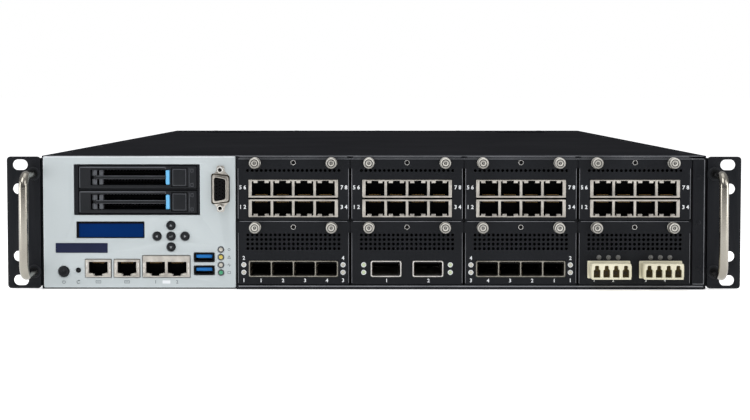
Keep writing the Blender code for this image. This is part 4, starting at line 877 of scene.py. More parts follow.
@dataclass
class Module:
    """A plug-in module in its own frame: X from its middle, Y from the front plane, Z from its lower edge."""

    name: str
    word: str
    vent_rows: int = 4
    flange_drop: float = 7.5
    thumb_drop: float = 4.2
    thumb_spread: float = 25.1
    vent_drop: float = 9.2
    vent_pitch: float = 3.0
    vent_columns: int = 21
    vent_radius: float = 1.0
    sheet: float = 1.2
    row_width: float = 58.8
    floor: float = 5.0
    port_height: float = 10.7
    proud: float = 0.6
    middle: float = field(init=False)
    bottom: float = field(init=False)
    height: float = field(init=False)
    half: float = field(init=False)
    depth: float = field(init=False)

    def __post_init__(self) -> None:
        """Reads the module's place from its carrier."""
        low, high = box_of(f"{self.name}_carrier")
        self.middle, self.half = (low.x + high.x) / 2, (high.x - low.x) / 2
        self.bottom, self.height = low.z, high.z - low.z
        self.depth = high.y - FRONT

    @property
    def place(self) -> Matrix:
        """From the module's own frame to the appliance's."""
        return at(self.middle, FRONT, self.bottom)

    def put(self, part: str, shape: Shape, finish: Finish, stands_for: Sequence[str] = ()) -> None:
        """Adds one of the module's pieces."""
        piece(f"{self.name}_{part}", shape, finish, self.name, stands_for, self.place)

    def cutouts(self) -> list[Flat]:
        """The holes that the ports come through."""
        return []

    def build(self) -> None:
        """Makes everything on the module."""
        self.build_faceplate()
        self.build_fasteners()
        self.build_ports()
        self.build_electronics()

    def build_faceplate(self) -> None:
        """The faceplate with its vents, painted highlight strips along its top and side edges, and the sled
        with its side lips.
        """
        shoulder, body = self.height - self.flange_drop, self.half - 0.7
        round_part = [(x, z) for x, z in rounded(-self.half, shoulder, 2 * self.half, self.flange_drop, 1.6)
                      if z > shoulder + 2]
        outline = [(-body, 0), (body, 0), (body, shoulder), (self.half, shoulder), *round_part,
                   (-self.half, shoulder), (-body, shoulder)]
        centre = (0.0, 0.0, self.height - self.vent_drop - (self.vent_rows - 1) * self.vent_pitch / 2)
        face = PERFORATED.run(outline_wires([outline, *self.cutouts()]), BLACK_COAT,
                              Columns=self.vent_columns,
                              Rows=self.vent_rows, Pitch=self.vent_pitch, Row_Pitch=self.vent_pitch,
                              Radius=self.vent_radius, Centre=centre, Thickness=self.sheet)
        # Painted highlights: light strips along the faceplate's top edge and both side edges.
        edge_highlights = Shape()
        length = self.half - 1.8
        edge_highlights.box((-length, -0.1, self.height - 0.42), (length, 0.05, self.height - 0.1), 0.08)
        for x in (-body + 0.2, body - 0.2):
            edge_highlights.box((x - 0.16, -0.1, 1.0), (x + 0.16, 0.05, shoulder - 0.4), 0.08)
        self.put("faceplate_edges", edge_highlights, EDGE_HIGHLIGHT)
        lip = self.half - 1.2
        sled = Shape().box((-lip, self.sheet, 0.55), (lip, self.depth, 1.45), 0.15)
        for x in (-lip, lip - 1.0):
            sled.box((x, self.sheet, 0.55), (x + 1.0, self.depth, 11.4), 0.2)
        self.put("faceplate", face.take(sled), BLACK_COAT, (f"{self.name}_carrier",))

    def build_fasteners(self) -> None:
        """The two thumbscrews and the small screw between them."""
        screw, z = Thumbscrew(), self.height - self.thumb_drop
        spots = [(x, 0, z) for x in (-self.thumb_spread, self.thumb_spread)]
        self.put("thumbscrews", spread(screw.head(), NICKEL, spots), DULL_NICKEL)
        # Painted shade in each thumbscrew's groove and drive hole, with the small dark screw between them.
        slots = spread(screw.socket(), BLACK_AND_SHADE, spots).take(screw_head(1.25, 0.3, "hex"), at(0, 0, z + 0.2))
        self.put("thumbscrew_slots", slots, BLACK_AND_SHADE)
        pins = spread(screw.pin(), NICKEL, spots)
        pins.plate(circle(0, z + 0.2, 1.62, 24), [circle(0, z + 0.2, 1.36, 24)], -0.12, 0.04, 0.05)
        self.put("thumbscrew_pins", pins, NICKEL)

    def build_ports(self) -> None:
        """The ports, which each kind of module has in its own way."""

    def lamps(self, part: str, places: Iterable[tuple[float, float]], lamp: str,
              radius: float = 1.65) -> None:
        """Round lamps with a pale ring.

        Args:
            part: The name of the piece.
            places: X and Z of each lamp.
            lamp: The name of the lens's finish.
            radius: Of the ring.
        """
        spots = [(x, 0, z) for x, z in places]
        lens = Shape().turned([(0.2 * radius, -0.42), (0.5 * radius, -0.36), (0.68 * radius, -0.15),
                               (0.68 * radius, 0.5)], 0, 0, 0, 16)
        ring = Shape().turned([(0.72 * radius, 0.0), (0.76 * radius, -0.2), (0.94 * radius, -0.2),
                               (radius, -0.05), (radius, 0.4)], 0, 0, 0, 20)
        self.put(part, spread(lens, LAMPS[lamp], spots), LAMPS[lamp])
        rim = LAMPS["grey"] if lamp == "grey" else WHITE_PRINT
        self.put(f"{part}_rings", spread(ring, rim, spots), rim)

    def build_electronics(self) -> None:
        """The board on the sled with its chips, cooler and edge connector."""
        _, high = box_of(f"{self.name}_{self.word}")
        half, top = self.half - 2.6, 5.2
        start, end = self.board_start(), self.depth - 3.0
        self.put("board", Shape().box((-half, start, top - 1.6), (half, end, top), 0.1), BOARD)
        cooler = Shape().box((-17, 92, top), (17, 126, top + 3.0), 0.2)
        fin = Shape().box((-16.8, 92, top + 3.0), (-16.0, 126, top + 12.0), 0.1)
        self.put("cooler", cooler.take(row(fin, ALUMINIUM, 12, (2.98, 0.0, 0.0))), ALUMINIUM)
        chip = Shape().box((-2.2, -1.6, 0), (2.2, 1.6, 0.9), 0.1)
        chips = SCATTER.run(free_area(-half + 4, start + 30, half - 4, end - 16, top), CHIP, {"Part": chip},
                            Density=0.004, Seed=BOARD_SEED + len(self.name), Spacing=7.0)
        chips.box((-22, high.y - FRONT - 22, top), (22, high.y - FRONT, top + 9), 0.3)
        self.put("chips", chips, CHIP)

    def board_start(self) -> float:
        """Where the board begins behind the faceplate."""
        return self.sheet + 0.3


@dataclass
class CopperModule(Module):
    """Eight modular jacks in two rows, their latches away from each other."""

    columns: int = 4
    pitch: float = 14.06
    row_height: float = 11.7
    row_gap: float = 1.2
    lowest: float = 2.0
    jack_depth: float = 12.5
    block_depth: float = 24.0

    def cutouts(self) -> list[Flat]:
        """One opening round both rows."""
        return [rounded(-self.row_width / 2 - 0.2, self.lowest - 0.2, self.row_width + 0.4,
                        2 * self.row_height + self.row_gap + 0.4)]

    def board_start(self) -> float:
        """Behind the jacks."""
        return self.block_depth

    def opening(self) -> Flat:
        """A jack's opening about its row's middle: a latch notch below with a metal tab at each side."""
        return mirrored([(6.2, 4.7), (6.2, -4.9), (5.0, -4.9), (5.0, -3.7), (2.3, -3.7), (2.3, -5.25)])

    def build_ports(self) -> None:
        """The jacks' metal shells, dark cavities, contacts and digits."""
        shells, cavities, contacts, digits = Shape(), Shape(), Shape(), Shape()
        contact = Shape().box((-0.2, 1.2, -0.1), (0.2, self.jack_depth - 1.5, 0.1))
        start, step = at(-(self.columns - 1) / 2 * self.pitch), (self.pitch, 0.0, 0.0)
        half = self.row_width / 2
        for level, flip in enumerate((False, True)):
            z = self.lowest + self.row_height / 2 + level * (self.row_height + self.row_gap)
            opening = moved(self.opening(), 0, z, flip)
            holes = [moved(opening, start.translation.x + k * self.pitch, 0) for k in range(self.columns)]
            shells.plate(rounded(-half, z - 5.85, 2 * half, 11.7, 0.4), holes, -self.proud, 1.0, 0.22)
            inner = Shape().plate(rounded(-6.9, z - 5.8, 13.8, 11.6), [opening], 1.0, self.jack_depth)
            inner.box((-6.9, self.jack_depth - 0.2, z - 5.8), (6.9, self.block_depth, z + 5.8))
            cavities.take(row(inner, BLACK_AND_SHADE, self.columns, step, start))
            comb = row(contact, GOLD, 8, (1.02, 0.0, 0.0), at(-3.57, 0, z + (-4.1 if flip else 4.1)))
            contacts.take(row(comb, GOLD, self.columns, step, start))
            for (side, first), k in product(((-1, 1), (1, 3)), range(2)):
                x = side * (half + 3.9) + (k - 0.5) * 2.8
                digits.text(str(first + 4 * level + k), 3.6, x, z + 0.7, -0.06)
        self.put("jack_shells", shells, CONNECTOR, (f"{self.name}_ports",))
        self.put("jack_cavities", cavities, BLACK_AND_SHADE)
        self.put("jack_contacts", contacts, GOLD)
        self.put("digits", digits, WHITE_PRINT)


@dataclass
class CageModule(Module):
    """Pluggable optical cages: each a left edge, a width and a number of cells."""

    cages: tuple[tuple[float, float, int], ...] = ((-29.4, 58.8, 4),)
    wall: float = 0.75
    metal: Finish = CAGE_METAL
    lamp: str = "white"
    cage_depth: float = 48.0
    side_digits: tuple[str, ...] = ("2", "1", "4", "3")
    under_digits: tuple[str, ...] = ("1", "2", "3", "4")
    lamp_x: tuple[float, ...] = (-32.7, 32.7)
    lamp_z: tuple[float, ...] = (13.0, 8.0)

    def cutouts(self) -> list[Flat]:
        """One opening round each cage."""
        return [rounded(left - 0.2, self.floor - 0.2, width + 0.4, self.port_height + 0.4)
                for left, width, _ in self.cages]

    def build_ports(self) -> None:
        """The cages with their spring fingers and inner connectors, the lamps and the digits."""
        shells, fingers, plugs, springs, digits = Shape(), Shape(), Shape(), Shape(), Shape()
        base, high = self.floor, self.port_height
        finger = Shape().box((-0.45, -self.proud - 0.25, -0.32), (0.45, -self.proud + 0.3, 0.32), 0.15)
        number = 0
        for left, width, cells in self.cages:
            cell = (width - self.wall) / cells
            holes = [rounded(left + self.wall + k * cell, base + self.wall, cell - self.wall,
                             high - 2 * self.wall, 0.9)
                     for k in range(cells)]
            shells.plate(rounded(left, base, width, high, 1.2), holes, -self.proud, self.cage_depth, 0.3)
            shells.box((left, self.cage_depth - 0.1, base),
                       (left + width, self.cage_depth + 3.9, base + high), 0.2)
            count = max(int(width / 3.2), 2)
            step = width / count
            for z in (base + 0.35, base + high - 0.35):
                fingers.take(row(finger, CAGE_METAL, count, (step, 0.0, 0.0), at(left + step / 2, 0, z)))
            for k in range(cells):
                x = left + self.wall + k * cell
                for z in (base + 3.0, base + high - 3.2):
                    springs.box((x - 0.1, 1.5, z - 1.1), (x + 0.8, 9.0, z + 1.1), 0.25)
                plugs.box((x + 0.6, self.cage_depth - 16, base + 2.2),
                          (x + cell - self.wall - 0.6, self.cage_depth, base + high - 2.6), 0.3)
                plugs.box((x + 0.1, 1.5, base + high - 2.0),
                          (x + cell - self.wall - 0.1, 14, base + high - 1.3), 0.1)
                digits.text(self.under_digits[number], 3.3, x + cell / 2, base - 2.5, -0.06)
                number += 1
        self.put("cage_shell", shells, self.metal, (f"{self.name}_{self.word}",))
        self.put("cage_fingers", fingers, self.metal)
        self.put("cage_springs", springs, BROWN)
        self.put("cage_plugs", plugs, BLACK_AND_SHADE)
        self.lamps("lamps", [(x, z) for x in self.lamp_x for z in self.lamp_z], self.lamp)
        rows = (max(self.lamp_z) + 4.4, min(self.lamp_z) - 5.4)
        for digit, (x, z) in zip(self.side_digits, product(self.lamp_x, rows)):
            digits.text(digit, 3.4, x, z, -0.06)
        self.put("digits", digits, WHITE_PRINT)


@dataclass
class FibreModule(Module):
    """Two blocks of four fibre adapters that stand out of the faceplate."""

    spread: float = 17.0
    width: float = 25.6
    block_height: float = 10.2
    reach: float = 13.8
    pitch: float = 6.25
    lamp_height: float = 18.0
    lamp_step: float = 6.3

    def cutouts(self) -> list[Flat]:
        """One opening behind each block."""
        return [rounded(side * self.spread - self.width / 2 - 0.2, self.floor - 0.2, self.width + 0.4,
                        self.block_height + 0.4) for side in (-1, 1)]

    def keyhole(self, x: float, z: float) -> Flat:
        """The opening of one adapter: a round-cornered slot with a narrower latch step on top."""
        return mirrored([(1.9, -3.9), (2.2, -3.5), (2.2, 0.9), (1.35, 1.5), (1.35, 3.3), (0.9, 3.9)], x, z)

    def build_ports(self) -> None:
        """The blocks with their ribs and flanges, the sleeves inside them, painted shade in the keyholes, the
        lamps and the digits.
        """
        blocks, inner, keyhole_shade, digits = Shape(), Shape(), Shape(), Shape()
        low, high, half = self.floor, self.floor + self.block_height, self.width / 2
        z, face = (low + high) / 2, -self.reach
        rib = Shape().box((-0.35, face + 1.4, z - 3.6), (0.35, -3.4, z + 3.6), 0.15)
        bar = Shape().box((-1.0, face + 1.2, -0.3), (1.0, -4.0, 0.35), 0.15)
        sleeve = [(0.35, face + 2.0), (0.62, face + 1.7), (1.0, face + 1.7), (1.2, face + 1.9),
                  (1.2, face + 2.7)]
        for block, side in enumerate((-1, 1)):
            x = side * self.spread
            spots = [x + (k - 1.5) * self.pitch for k in range(4)]
            blocks.plate(rounded(x - half, low, self.width, self.block_height, 0.5),
                         [self.keyhole(spot, z) for spot in spots], face, -3.0, 0.3)
            blocks.box((x - half, -3.1, low), (x + half, 12.0, high), 0.3)
            blocks.box((x - half - 1.2, -2.2, low - 0.6), (x + half + 1.2, -0.3, high + 0.6), 0.3)
            for edge in (-1, 1):
                blocks.take(rib, at(x + edge * (half + 0.1)))
            blocks.take(row(bar, IVORY, 4, (self.pitch, 0.0, 0.0), at(spots[0], 0, high - 0.1)))
            for k, spot in enumerate(spots):
                # Painted shade: a dark amber plate fills each keyhole a little behind its face.
                keyhole_shade.plate(inset(self.keyhole(spot, z), 0.06), [], face + 2.6, -3.2)
                inner.turned(sleeve, spot, 0, z - 1.1, 16)
                if k % 2 == 0:
                    digits.text(str(1 + 2 * block + k // 2), 2.4, spot, low - 2.4, -0.06)
        self.put("adapter_blocks", blocks, IVORY, (f"{self.name}_{self.word}",))
        self.put("adapter_sleeves", inner, BROWN)
        self.put("adapter_lining", keyhole_shade, AMBER_SHADE)
        places = [(side * self.spread + k * self.lamp_step, self.lamp_height) for side in (-1, 1)
                  for k in (-1, 0, 1)]
        self.lamps("lamps", places, "grey", 1.6)
        self.put("digits", digits, WHITE_PRINT)


@dataclass
class ControlPanel:
    """The silver panel at the left with its display, buttons, sockets and lamps.

    Places are X from the panel's left edge and Z from the ground.
    """

    sheet: float = 2.0
    drive_corner: tuple[float, float] = (20.6, 49.3)
    window: tuple[float, float, float, float] = (21.9, 34.0, 44.3, 10.4)
    pad_radius: float = 2.6
    power: tuple[float, float, float] = (13.1, 11.6, 3.3)
    reset: tuple[float, float, float] = (22.7, 12.5, 1.4)
    lamp_x: float = 116.8
    lamp_heights: tuple[float, ...] = (26.2, 21.2, 16.0, 11.0)
    lamp_names: tuple[str, ...] = ("white", "yellow", "white", "green")
    vga: tuple[float, float] = (116.8, 66.3)
    badge: tuple[float, float, float, float] = (7.9, 24.0, 34.3, 6.5)
    usb_left: float = 99.3
    usb_width: float = 13.0
    usb_height: float = 5.6
    usb_heights: tuple[float, float] = (9.7, 18.3)
    buttons: tuple[str, ...] = ("up", "down", "left", "right", "enter")
    left: float = field(init=False)
    width: float = field(init=False)
    bottom: float = field(init=False)
    top: float = field(init=False)

    def __post_init__(self) -> None:
        """Reads the panel's place from its node."""
        low, high = box_of("control_panel")
        self.left, self.width, self.bottom, self.top = low.x, high.x - low.x, low.z, high.z

    def put(self, name: str, shape: Shape, finish: Finish, stands_for: Sequence[str] = (),
            body: str = "root") -> None:
        """Adds a piece in the panel's frame."""
        piece(name, shape, finish, body, stands_for, at(self.left, FRONT, 0))

    def area_of(self, node: str) -> tuple[float, float, float, float]:
        """A node's left, bottom, width and height in the panel's frame."""
        low, high = box_of(node)
        return low.x - self.left, low.z, high.x - low.x, high.z - low.z

    def spot_of(self, node: str) -> tuple[float, float]:
        """A node's middle in the panel's frame."""
        middle = middle_of(node)
        return middle.x - self.left, middle.z

    def build(self) -> None:
        """Makes everything on the panel."""
        self.build_sheet()
        self.build_display()
        self.build_buttons()
        self.build_jacks()
        self.build_usb()
        self.build_vga()
        self.build_lamps()
        self.build_legends()

    def vga_outline(self, grow: float = 0.0) -> Flat:
        """The D of the display connector, standing on end with its long side at the left."""
        x, z = self.vga
        half, tall, taper = 4.3 + grow, 8.5 + grow, 1.3
        corners = [(-half, -tall), (half, taper - tall), (half, tall - taper), (-half, tall)]
        return self.round_corners(moved(corners, x, z), 1.8)

    @staticmethod
    def round_corners(corners: Flat, radius: float, steps: int = 4) -> Flat:
        """An outline with each corner replaced by a smooth curve that starts a radius away."""
        made = []
        spots = [Vector(corner) for corner in corners]
        for before, here, after in zip(spots[-1:] + spots[:-1], spots, spots[1:] + spots[:1]):
            start, end = (here + (other - here).normalized() * radius for other in (before, after))
            for t in (k / steps for k in range(steps + 1)):
                made.append(tuple(start * (1 - t) ** 2 + here * 2 * t * (1 - t) + end * t ** 2))
        return made

    def build_sheet(self) -> None:
        """The panel with a hole for everything that shows through it."""
        x, z = self.drive_corner
        cage_width = self.area_of("drive_cage")[2]
        cage_height = box_of("drive_cage")[1].z - z
        holes = [rounded(*self.grown((x, z, cage_width, cage_height), 0.3), 0.5),
                 rounded(*self.grown(self.window, 0.3), 0.4), self.vga_outline(0.3)]
        for node in ("management_port", "console_port", "lan_port_pair"):
            holes.append(rounded(*self.grown(self.area_of(node), 0.3), 0.3))
        for low in self.usb_heights:
            holes.append(rounded(*self.grown((self.usb_left, low, self.usb_width, self.usb_height), 0.3),
                                 0.5))
        for name in self.buttons:
            holes.append(circle(*self.spot_of(f"{name}_button"), self.pad_radius + 0.4, 32))
        for (x, z, radius), sides in ((self.power, 36), (self.reset, 24)):
            holes.append(circle(x, z, radius + 0.4, sides))
        holes += [circle(self.lamp_x, z, 2.1, 24) for z in self.lamp_heights]
        outline = rounded(0.0, self.bottom, self.width, self.top - self.bottom, 0.8)
        self.put("panel_sheet", Shape().plate(outline, holes, 0, self.sheet, 0.45), SILVER,
                 ("control_panel",))
        # Painted highlights: light strips along the panel's top edge and its left edge.
        rim = Shape().box((0.6, -0.06, self.top - 0.75), (self.width - 0.6, 0.5, self.top - 0.05), 0.2)
        rim.box((0.05, -0.04, self.bottom + 1.0), (0.4, 0.5, self.top - 1.0), 0.15)
        self.put("panel_rim", rim, SILVER_EDGE_HIGHLIGHT)

    @staticmethod
    def grown(region: Triple, by: float) -> tuple[float, float, float, float]:
        """A region (left, bottom, width, height) with every side moved out."""
        left, bottom, width, height = region
        return left - by, bottom - by, width + 2 * by, height + 2 * by

    def build_display(self) -> None:
        """The display's glass with its black border, and the module behind it."""
        left, bottom, width, height = self.window
        clear = rounded(left + 1.3, bottom + 0.35, width - 1.7, height - 1.5, 0.2)
        self.put("display_glass", Shape().plate(clear, [], 0.75, 2.4, 0.1), GLASS, ("lcd_module",))
        border = Shape().plate(rounded(left, bottom, width, height, 0.3), [clear], 0.45, 2.6, 0.15)
        border.box((left - 4, 2.35, bottom - 2), (left + width + 4, 8.3, bottom + height + 2), 0.4)
        self.put("display_frame", border, BLACK_AND_SHADE)
        self.put("blank_badge", Shape().plate(rounded(*self.badge, 0.4), [], -0.25, 0.1, 0.12), BADGE)

    def build_buttons(self) -> None:
        """The five pad buttons with their pale marks, and the power and reset buttons."""
        turns = {"up": 90, "down": -90, "left": 180, "right": 0}
        r, flange = self.pad_radius, self.sheet + 0.3
        face = [(0.05, -0.75), (r * 0.55, -0.85), (r - 0.45, -1.0), (r - 0.12, -0.9), (r, -0.65)]
        for name in self.buttons:
            if name == "enter":
                mark = Shape().lines([(0.8, 0.7), (0.8, -0.3), (-0.7, -0.3)], 0.32, -1.02, -0.8)
                mark.plate([(-1.15, -0.3), (-0.35, -0.85), (-0.35, 0.25)], [], -1.02, -0.8)
            else:
                turn = Matrix.Rotation(math.radians(turns[name]), 2)
                arrow = [tuple(turn @ Vector(spot)) for spot in ((-0.5, -0.85), (0.95, 0.0), (-0.5, 0.85))]
                mark = Shape().plate(arrow, [], -1.02, -0.8)
            self.button(f"{name}_button", (*self.spot_of(f"{name}_button"), r), face, flange, 36)
            self.button_mark(f"{name}_button", mark, self.spot_of(f"{name}_button"), PALE_PRINT)
        x, z, r = self.power
        face = [(0.05, -0.7), (r * 0.5, -0.8), (r - 0.5, -1.0), (r - 0.15, -0.92), (r, -0.6)]
        self.button("power_button", self.power, face, 2.3, 40)
        mark = Shape().lines(arc(1.25, 128, 412, 14), 0.38, -1.02, -0.75)
        mark.lines([(0, 0.2), (0, 1.6)], 0.38, -1.02, -0.75)
        self.button_mark("power_button", mark, (x, z), DIM_PLASTIC)
        x, z, r = self.reset
        self.button("reset_button", self.reset, [(0.05, 0.3), (r - 0.3, 0.35), (r, 0.6)], 2.3, 28)
        self.put("reset_ring", self.hollow_ring(x, z, r + 0.42, r + 0.95), SILVER)

    def button(self, node: str, place: Triple, face: Flat, flange: float, sides: int) -> None:
        """A round button's cap.

        Args:
            node: The button's node, which is its body too.
            place: The X and Z of its middle, and its radius.
            face: Radius and depth pairs of its front.
            flange: The Y where the wider part behind the panel begins.
            sides: How many sides it has.
        """
        x, z, r = place
        profile = [*face, (r, flange), (r + 0.8, flange), (r + 0.8, flange + 0.8)]
        self.put(f"{node}_cap", Shape().turned(profile, x, 0, z, sides), BLACK_PLASTIC, (node,), node)

    def button_mark(self, node: str, mark: Shape, spot: tuple[float, float], finish: Finish) -> None:
        """The mark on a button."""
        self.put(f"{node}_mark", Shape().take(mark, at(spot[0], 0, spot[1])), finish, (), node)

    @staticmethod
    def hollow_ring(x: float, z: float, inner: float, outer: float) -> Shape:
        """A thin raised ring round a hole."""
        return Shape().plate(circle(x, z, outer, 32), [circle(x, z, inner, 32)], -0.2, 0.05, 0.08)

    def jack_opening(self, x: float, z: float) -> Flat:
        """A jack's opening with its stepped latch notch below, about its middle."""
        return mirrored([(6.2, 4.65), (6.2, -2.7), (4.9, -2.7), (4.9, -3.3), (2.5, -3.3), (2.5, -4.65)], x, z)

    def build_jacks(self) -> None:
        """The three network sockets: metal shells with side springs, lamps, contacts and dark insides."""
        insides, contacts, springs, lamps = Shape(), Shape(), Shape(), Shape()
        contact = Shape().box((-0.2, 1.0, -0.1), (0.2, 11.0, 0.1))
        for node, count in (("management_port", 1), ("console_port", 1), ("lan_port_pair", 2)):
            left, bottom, width, height = self.area_of(node)
            right, top, middle = left + width, bottom + height, bottom + 5.45
            openings = [(left + width / 2 + (k - (count - 1) / 2) * 14.2, middle) for k in range(count)]
            holes = [self.jack_opening(x, z) for x, z in openings]
            shells = Shape().plate(rounded(left, bottom, width, height, 0.4), holes, -0.6, 1.6, 0.25)
            shells.box((left, 1.4, top - 0.5), (right, 16.0, top), 0.1)
            for x in (left, right - 0.5):
                shells.box((x, 1.4, bottom), (x + 0.5, 16.0, top), 0.1)
            for x, z in product((left + 0.8, right - 0.8), (middle - 1.6, middle + 2.6)):
                springs.box((x - 0.4, -0.9, z - 1.5), (x + 0.4, -0.4, z + 1.5), 0.2)
            self.put(f"{node}_shell", shells, CONNECTOR, (node,))
            insides.plate(rounded(left + 0.6, bottom + 0.1, width - 1.2, height - 0.7), holes, 1.6, 12.5)
            insides.box((left + 0.6, 12.4, bottom + 0.1), (right - 0.6, 15.8, top - 0.6))
            for x, z in openings:
                contacts.take(row(contact, GOLD, 8, (1.02, 0.0, 0.0), at(x - 3.57, 0, z + 3.9)))
                for lamp in (x - 4.7, x + 4.7):
                    lamps.box((lamp - 1.2, -0.7, middle - 4.4), (lamp + 1.2, 1.0, middle - 3.0), 0.2)
        self.put("jack_insides", insides, BLACK_AND_SHADE)
        self.put("jack_contacts", contacts, GOLD)
        self.put("jack_springs", springs, BRIGHT_CAGE)
        self.put("jack_lamps", lamps, LAMPS["white"])

    def build_usb(self) -> None:
        """Two sockets with blue tongues, contacts and black surrounds."""
        shells, tongues, contacts, surrounds = Shape(), Shape(), Shape(), Shape()
        left, width, height = self.usb_left, self.usb_width, self.usb_height
        right = left + width
        pad = Shape().box((-0.5, 1.4, -0.06), (0.5, 9.0, 0.06), 0.03)
        for bottom in self.usb_heights:
            socket = (left, bottom, width, height)
            shells.plate(rounded(*self.grown(socket, -0.1), 0.5), [rounded(*self.grown(socket, -0.5), 0.3)],
                         1.1, 12.0, 0.12)
            shells.box((left + 0.1, 11.9, bottom + 0.1), (right - 0.1, 14.0, bottom + height - 0.1), 0.1)
            opening = rounded(left + 0.95, bottom + 0.75, width - 1.9, height - 1.5, 0.2)
            surrounds.plate(rounded(*socket, 0.4), [opening], -0.5, 1.0, 0.12)
            surrounds.plate(rounded(*self.grown(socket, -0.6), 0.3), [opening], 1.2, 11.8)
            tongues.box((left + 1.15, 0.2, bottom + 2.35), (right - 1.15, 11.9, bottom + 4.75), 0.3)
            contacts.take(row(pad, GOLD, 4, (2.5, 0.0, 0.0), at(left + width / 2 - 3.75, 0, bottom + 2.3)))
        for low, high in ((8.05, 9.65), (15.6, 18.25)):
            shells.box((left, 2.4, low), (right, 13.9, high), 0.1)
        self.put("usb_shells", shells, ZINC, ("usb_port_lower", "usb_port_upper"))
        self.put("usb_surrounds", surrounds, BLACK_AND_SHADE)
        self.put("usb_tongues", tongues, USB_BLUE)
        self.put("usb_contacts", contacts, GOLD)

    def build_vga(self) -> None:
        """The display connector: its D shell, insert with fifteen sockets, flange and jack screws."""
        x, z = self.vga
        shell = Shape().plate(self.vga_outline(), [self.vga_outline(-0.5)], -5.4, 1.0, 0.2)
        flange = mirrored([(2.4, -15.2), (2.7, -11.6), (5.8, -8.6), (5.8, 8.6), (2.7, 11.6), (2.4, 15.2)], x,
                          z)
        shell.plate(self.round_corners(flange, 1.3), [self.vga_outline(-0.3)], -0.5, 0.0, 0.2)
        shell.plate(self.vga_outline(1.0), [self.vga_outline(-0.2)], -0.9, -0.4, 0.2)
        shell.box((x - 6.2, 2.3, z - 15.5), (x + 6.2, 11.3, z + 15.5), 0.3)
        seam = Shape().plate(self.vga_outline(1.75), [self.vga_outline(1.05)], -0.65, -0.45)
        self.put("vga_seam", seam, BROWN)
        posts = Shape()
        for side in (-1, 1):
            posts.turned([(1.0, -2.4), (1.2, -4.2), (1.5, -4.5), (2.1, -4.5), (2.5, -4.1), (2.5, -0.4)],
                         x, 0, z + side * 12.6, 6)
        self.put("vga_shell", shell, CONNECTOR, ("vga_connector",))
        self.put("vga_posts", posts, NICKEL)
        insert = self.vga_outline(-0.55)
        columns = ((-2.0, 0.0), (0.0, 1.0), (2.0, 0.0))
        holes = [circle(x + dx, z + shift + (k - 2) * 2.3 - 0.5, 0.5, 10) for dx, shift in columns
                 for k in range(5)]
        block = Shape().plate(insert, holes, -4.6, 0.9, 0.15)
        # Painted shade: dark discs at the bottom of the two jack-screw holes.
        for side in (-1, 1):
            block.plate(circle(x, z + side * 12.6, 0.95, 12), [], -2.9, -2.5)
        self.put("vga_insert", block, BLACK_AND_SHADE)

    def build_lamps(self) -> None:
        """The column of round status lamps in grey rings, and the board behind the panel."""
        lens = Shape().turned([(0.1, -0.9), (0.8, -0.8), (1.25, -0.35), (1.35, 0.0), (1.35, 12.4)], 0, 0, 0,
                              24)
        rings = Shape()
        for number, (z, name) in enumerate(zip(self.lamp_heights, self.lamp_names), 1):
            self.put(f"status_lamp_{number}", Shape().take(lens, at(self.lamp_x, 0, z)), LAMPS[name])
            rings.take(self.hollow_ring(self.lamp_x, z, 1.42, 1.95))
        self.put("status_lamp_rings", rings, GREY_PLASTIC)
        low, high = (corner - Vector((self.left, FRONT, 0)) for corner in box_of("panel_board"))
        first = 4.4
        board = Shape().box((low.x, first, 6.1), (high.x, high.y, 7.7), 0.1)
        for px, py in product((low.x + 6, high.x - 6), (first + 6, high.y - 6)):
            board.turned([(2.0, 0.0), (2.9, 0.1), (2.9, 4.5), (2.0, 4.6)], 0, 0, 0, 6,
                         at(px, py, 6.15) @ UPWARD)
        board.box((112.6, 12.5, 7.5), (high.x, 14.1, high.z), 0.1)
        board.box((73.2, 12.5, 24.2), (112.7, 14.1, high.z), 0.1)
        self.put("panel_circuit", board, BOARD, ("panel_board",))

    def build_legends(self) -> None:
        """Printed marks: plain pictograms beside the lamps and under the sockets."""
        marks, ink = Shape(), (-0.05, 0.02)
        power = Shape().lines(arc(1.0, 130, 410, 10), 0.3, *ink).lines([(0, 0.1), (0, 1.3)], 0.3, *ink)
        marks.take(power, at(self.power[0], 0, 4.7))
        turn = Shape().lines(arc(1.0, 60, 330, 9), 0.3, *ink).plate([(0.0, 0.4), (1.3, 0.9), (0.1, 1.7)], [],
                                                                    *ink)
        marks.take(turn, at(self.reset[0], 0, 4.7))
        dot, bar, wave, box = ((self.lamp_x + 5.4, z) for z in self.lamp_heights)
        marks.plate(circle(*dot, 0.9, 16), [circle(*dot, 0.55, 16)], *ink)
        marks.lines(moved([(-0.9, -0.8), (0, 0.9), (0.9, -0.8)], *bar), 0.32, *ink, True)
        swing = [(-1.2, 0), (-0.5, 0), (-0.1, 0.9), (0.3, -0.9), (0.6, 0), (1.2, 0)]
        marks.lines(moved(swing, *wave), 0.28, *ink)
        marks.lines(moved(rounded(-0.9, -0.7, 1.8, 1.4), *box), 0.3, *ink, True)
        for node in ("management_port", "console_port"):
            x, _ = self.spot_of(node)
            marks.lines(rounded(x - 1.6, 4.0, 3.2, 1.6), 0.3, *ink,
                        True).lines([(x - 0.8, 4.8), (x + 0.8, 4.8)], 0.3, *ink)
        middle, _ = self.spot_of("lan_port_pair")
        for side, digit in ((-1, "1"), (1, "2")):
            marks.text(digit, 3.0, middle + side * 7.1, 4.7, ink[0], 0.06)
        self.put("legends", marks, DARK_PRINT)
        self.put("pale_legends", Shape().plate(rounded(middle - 2.6, 3.7, 5.2, 2.1, 0.2), [], *ink),
                 WHITE_PRINT)


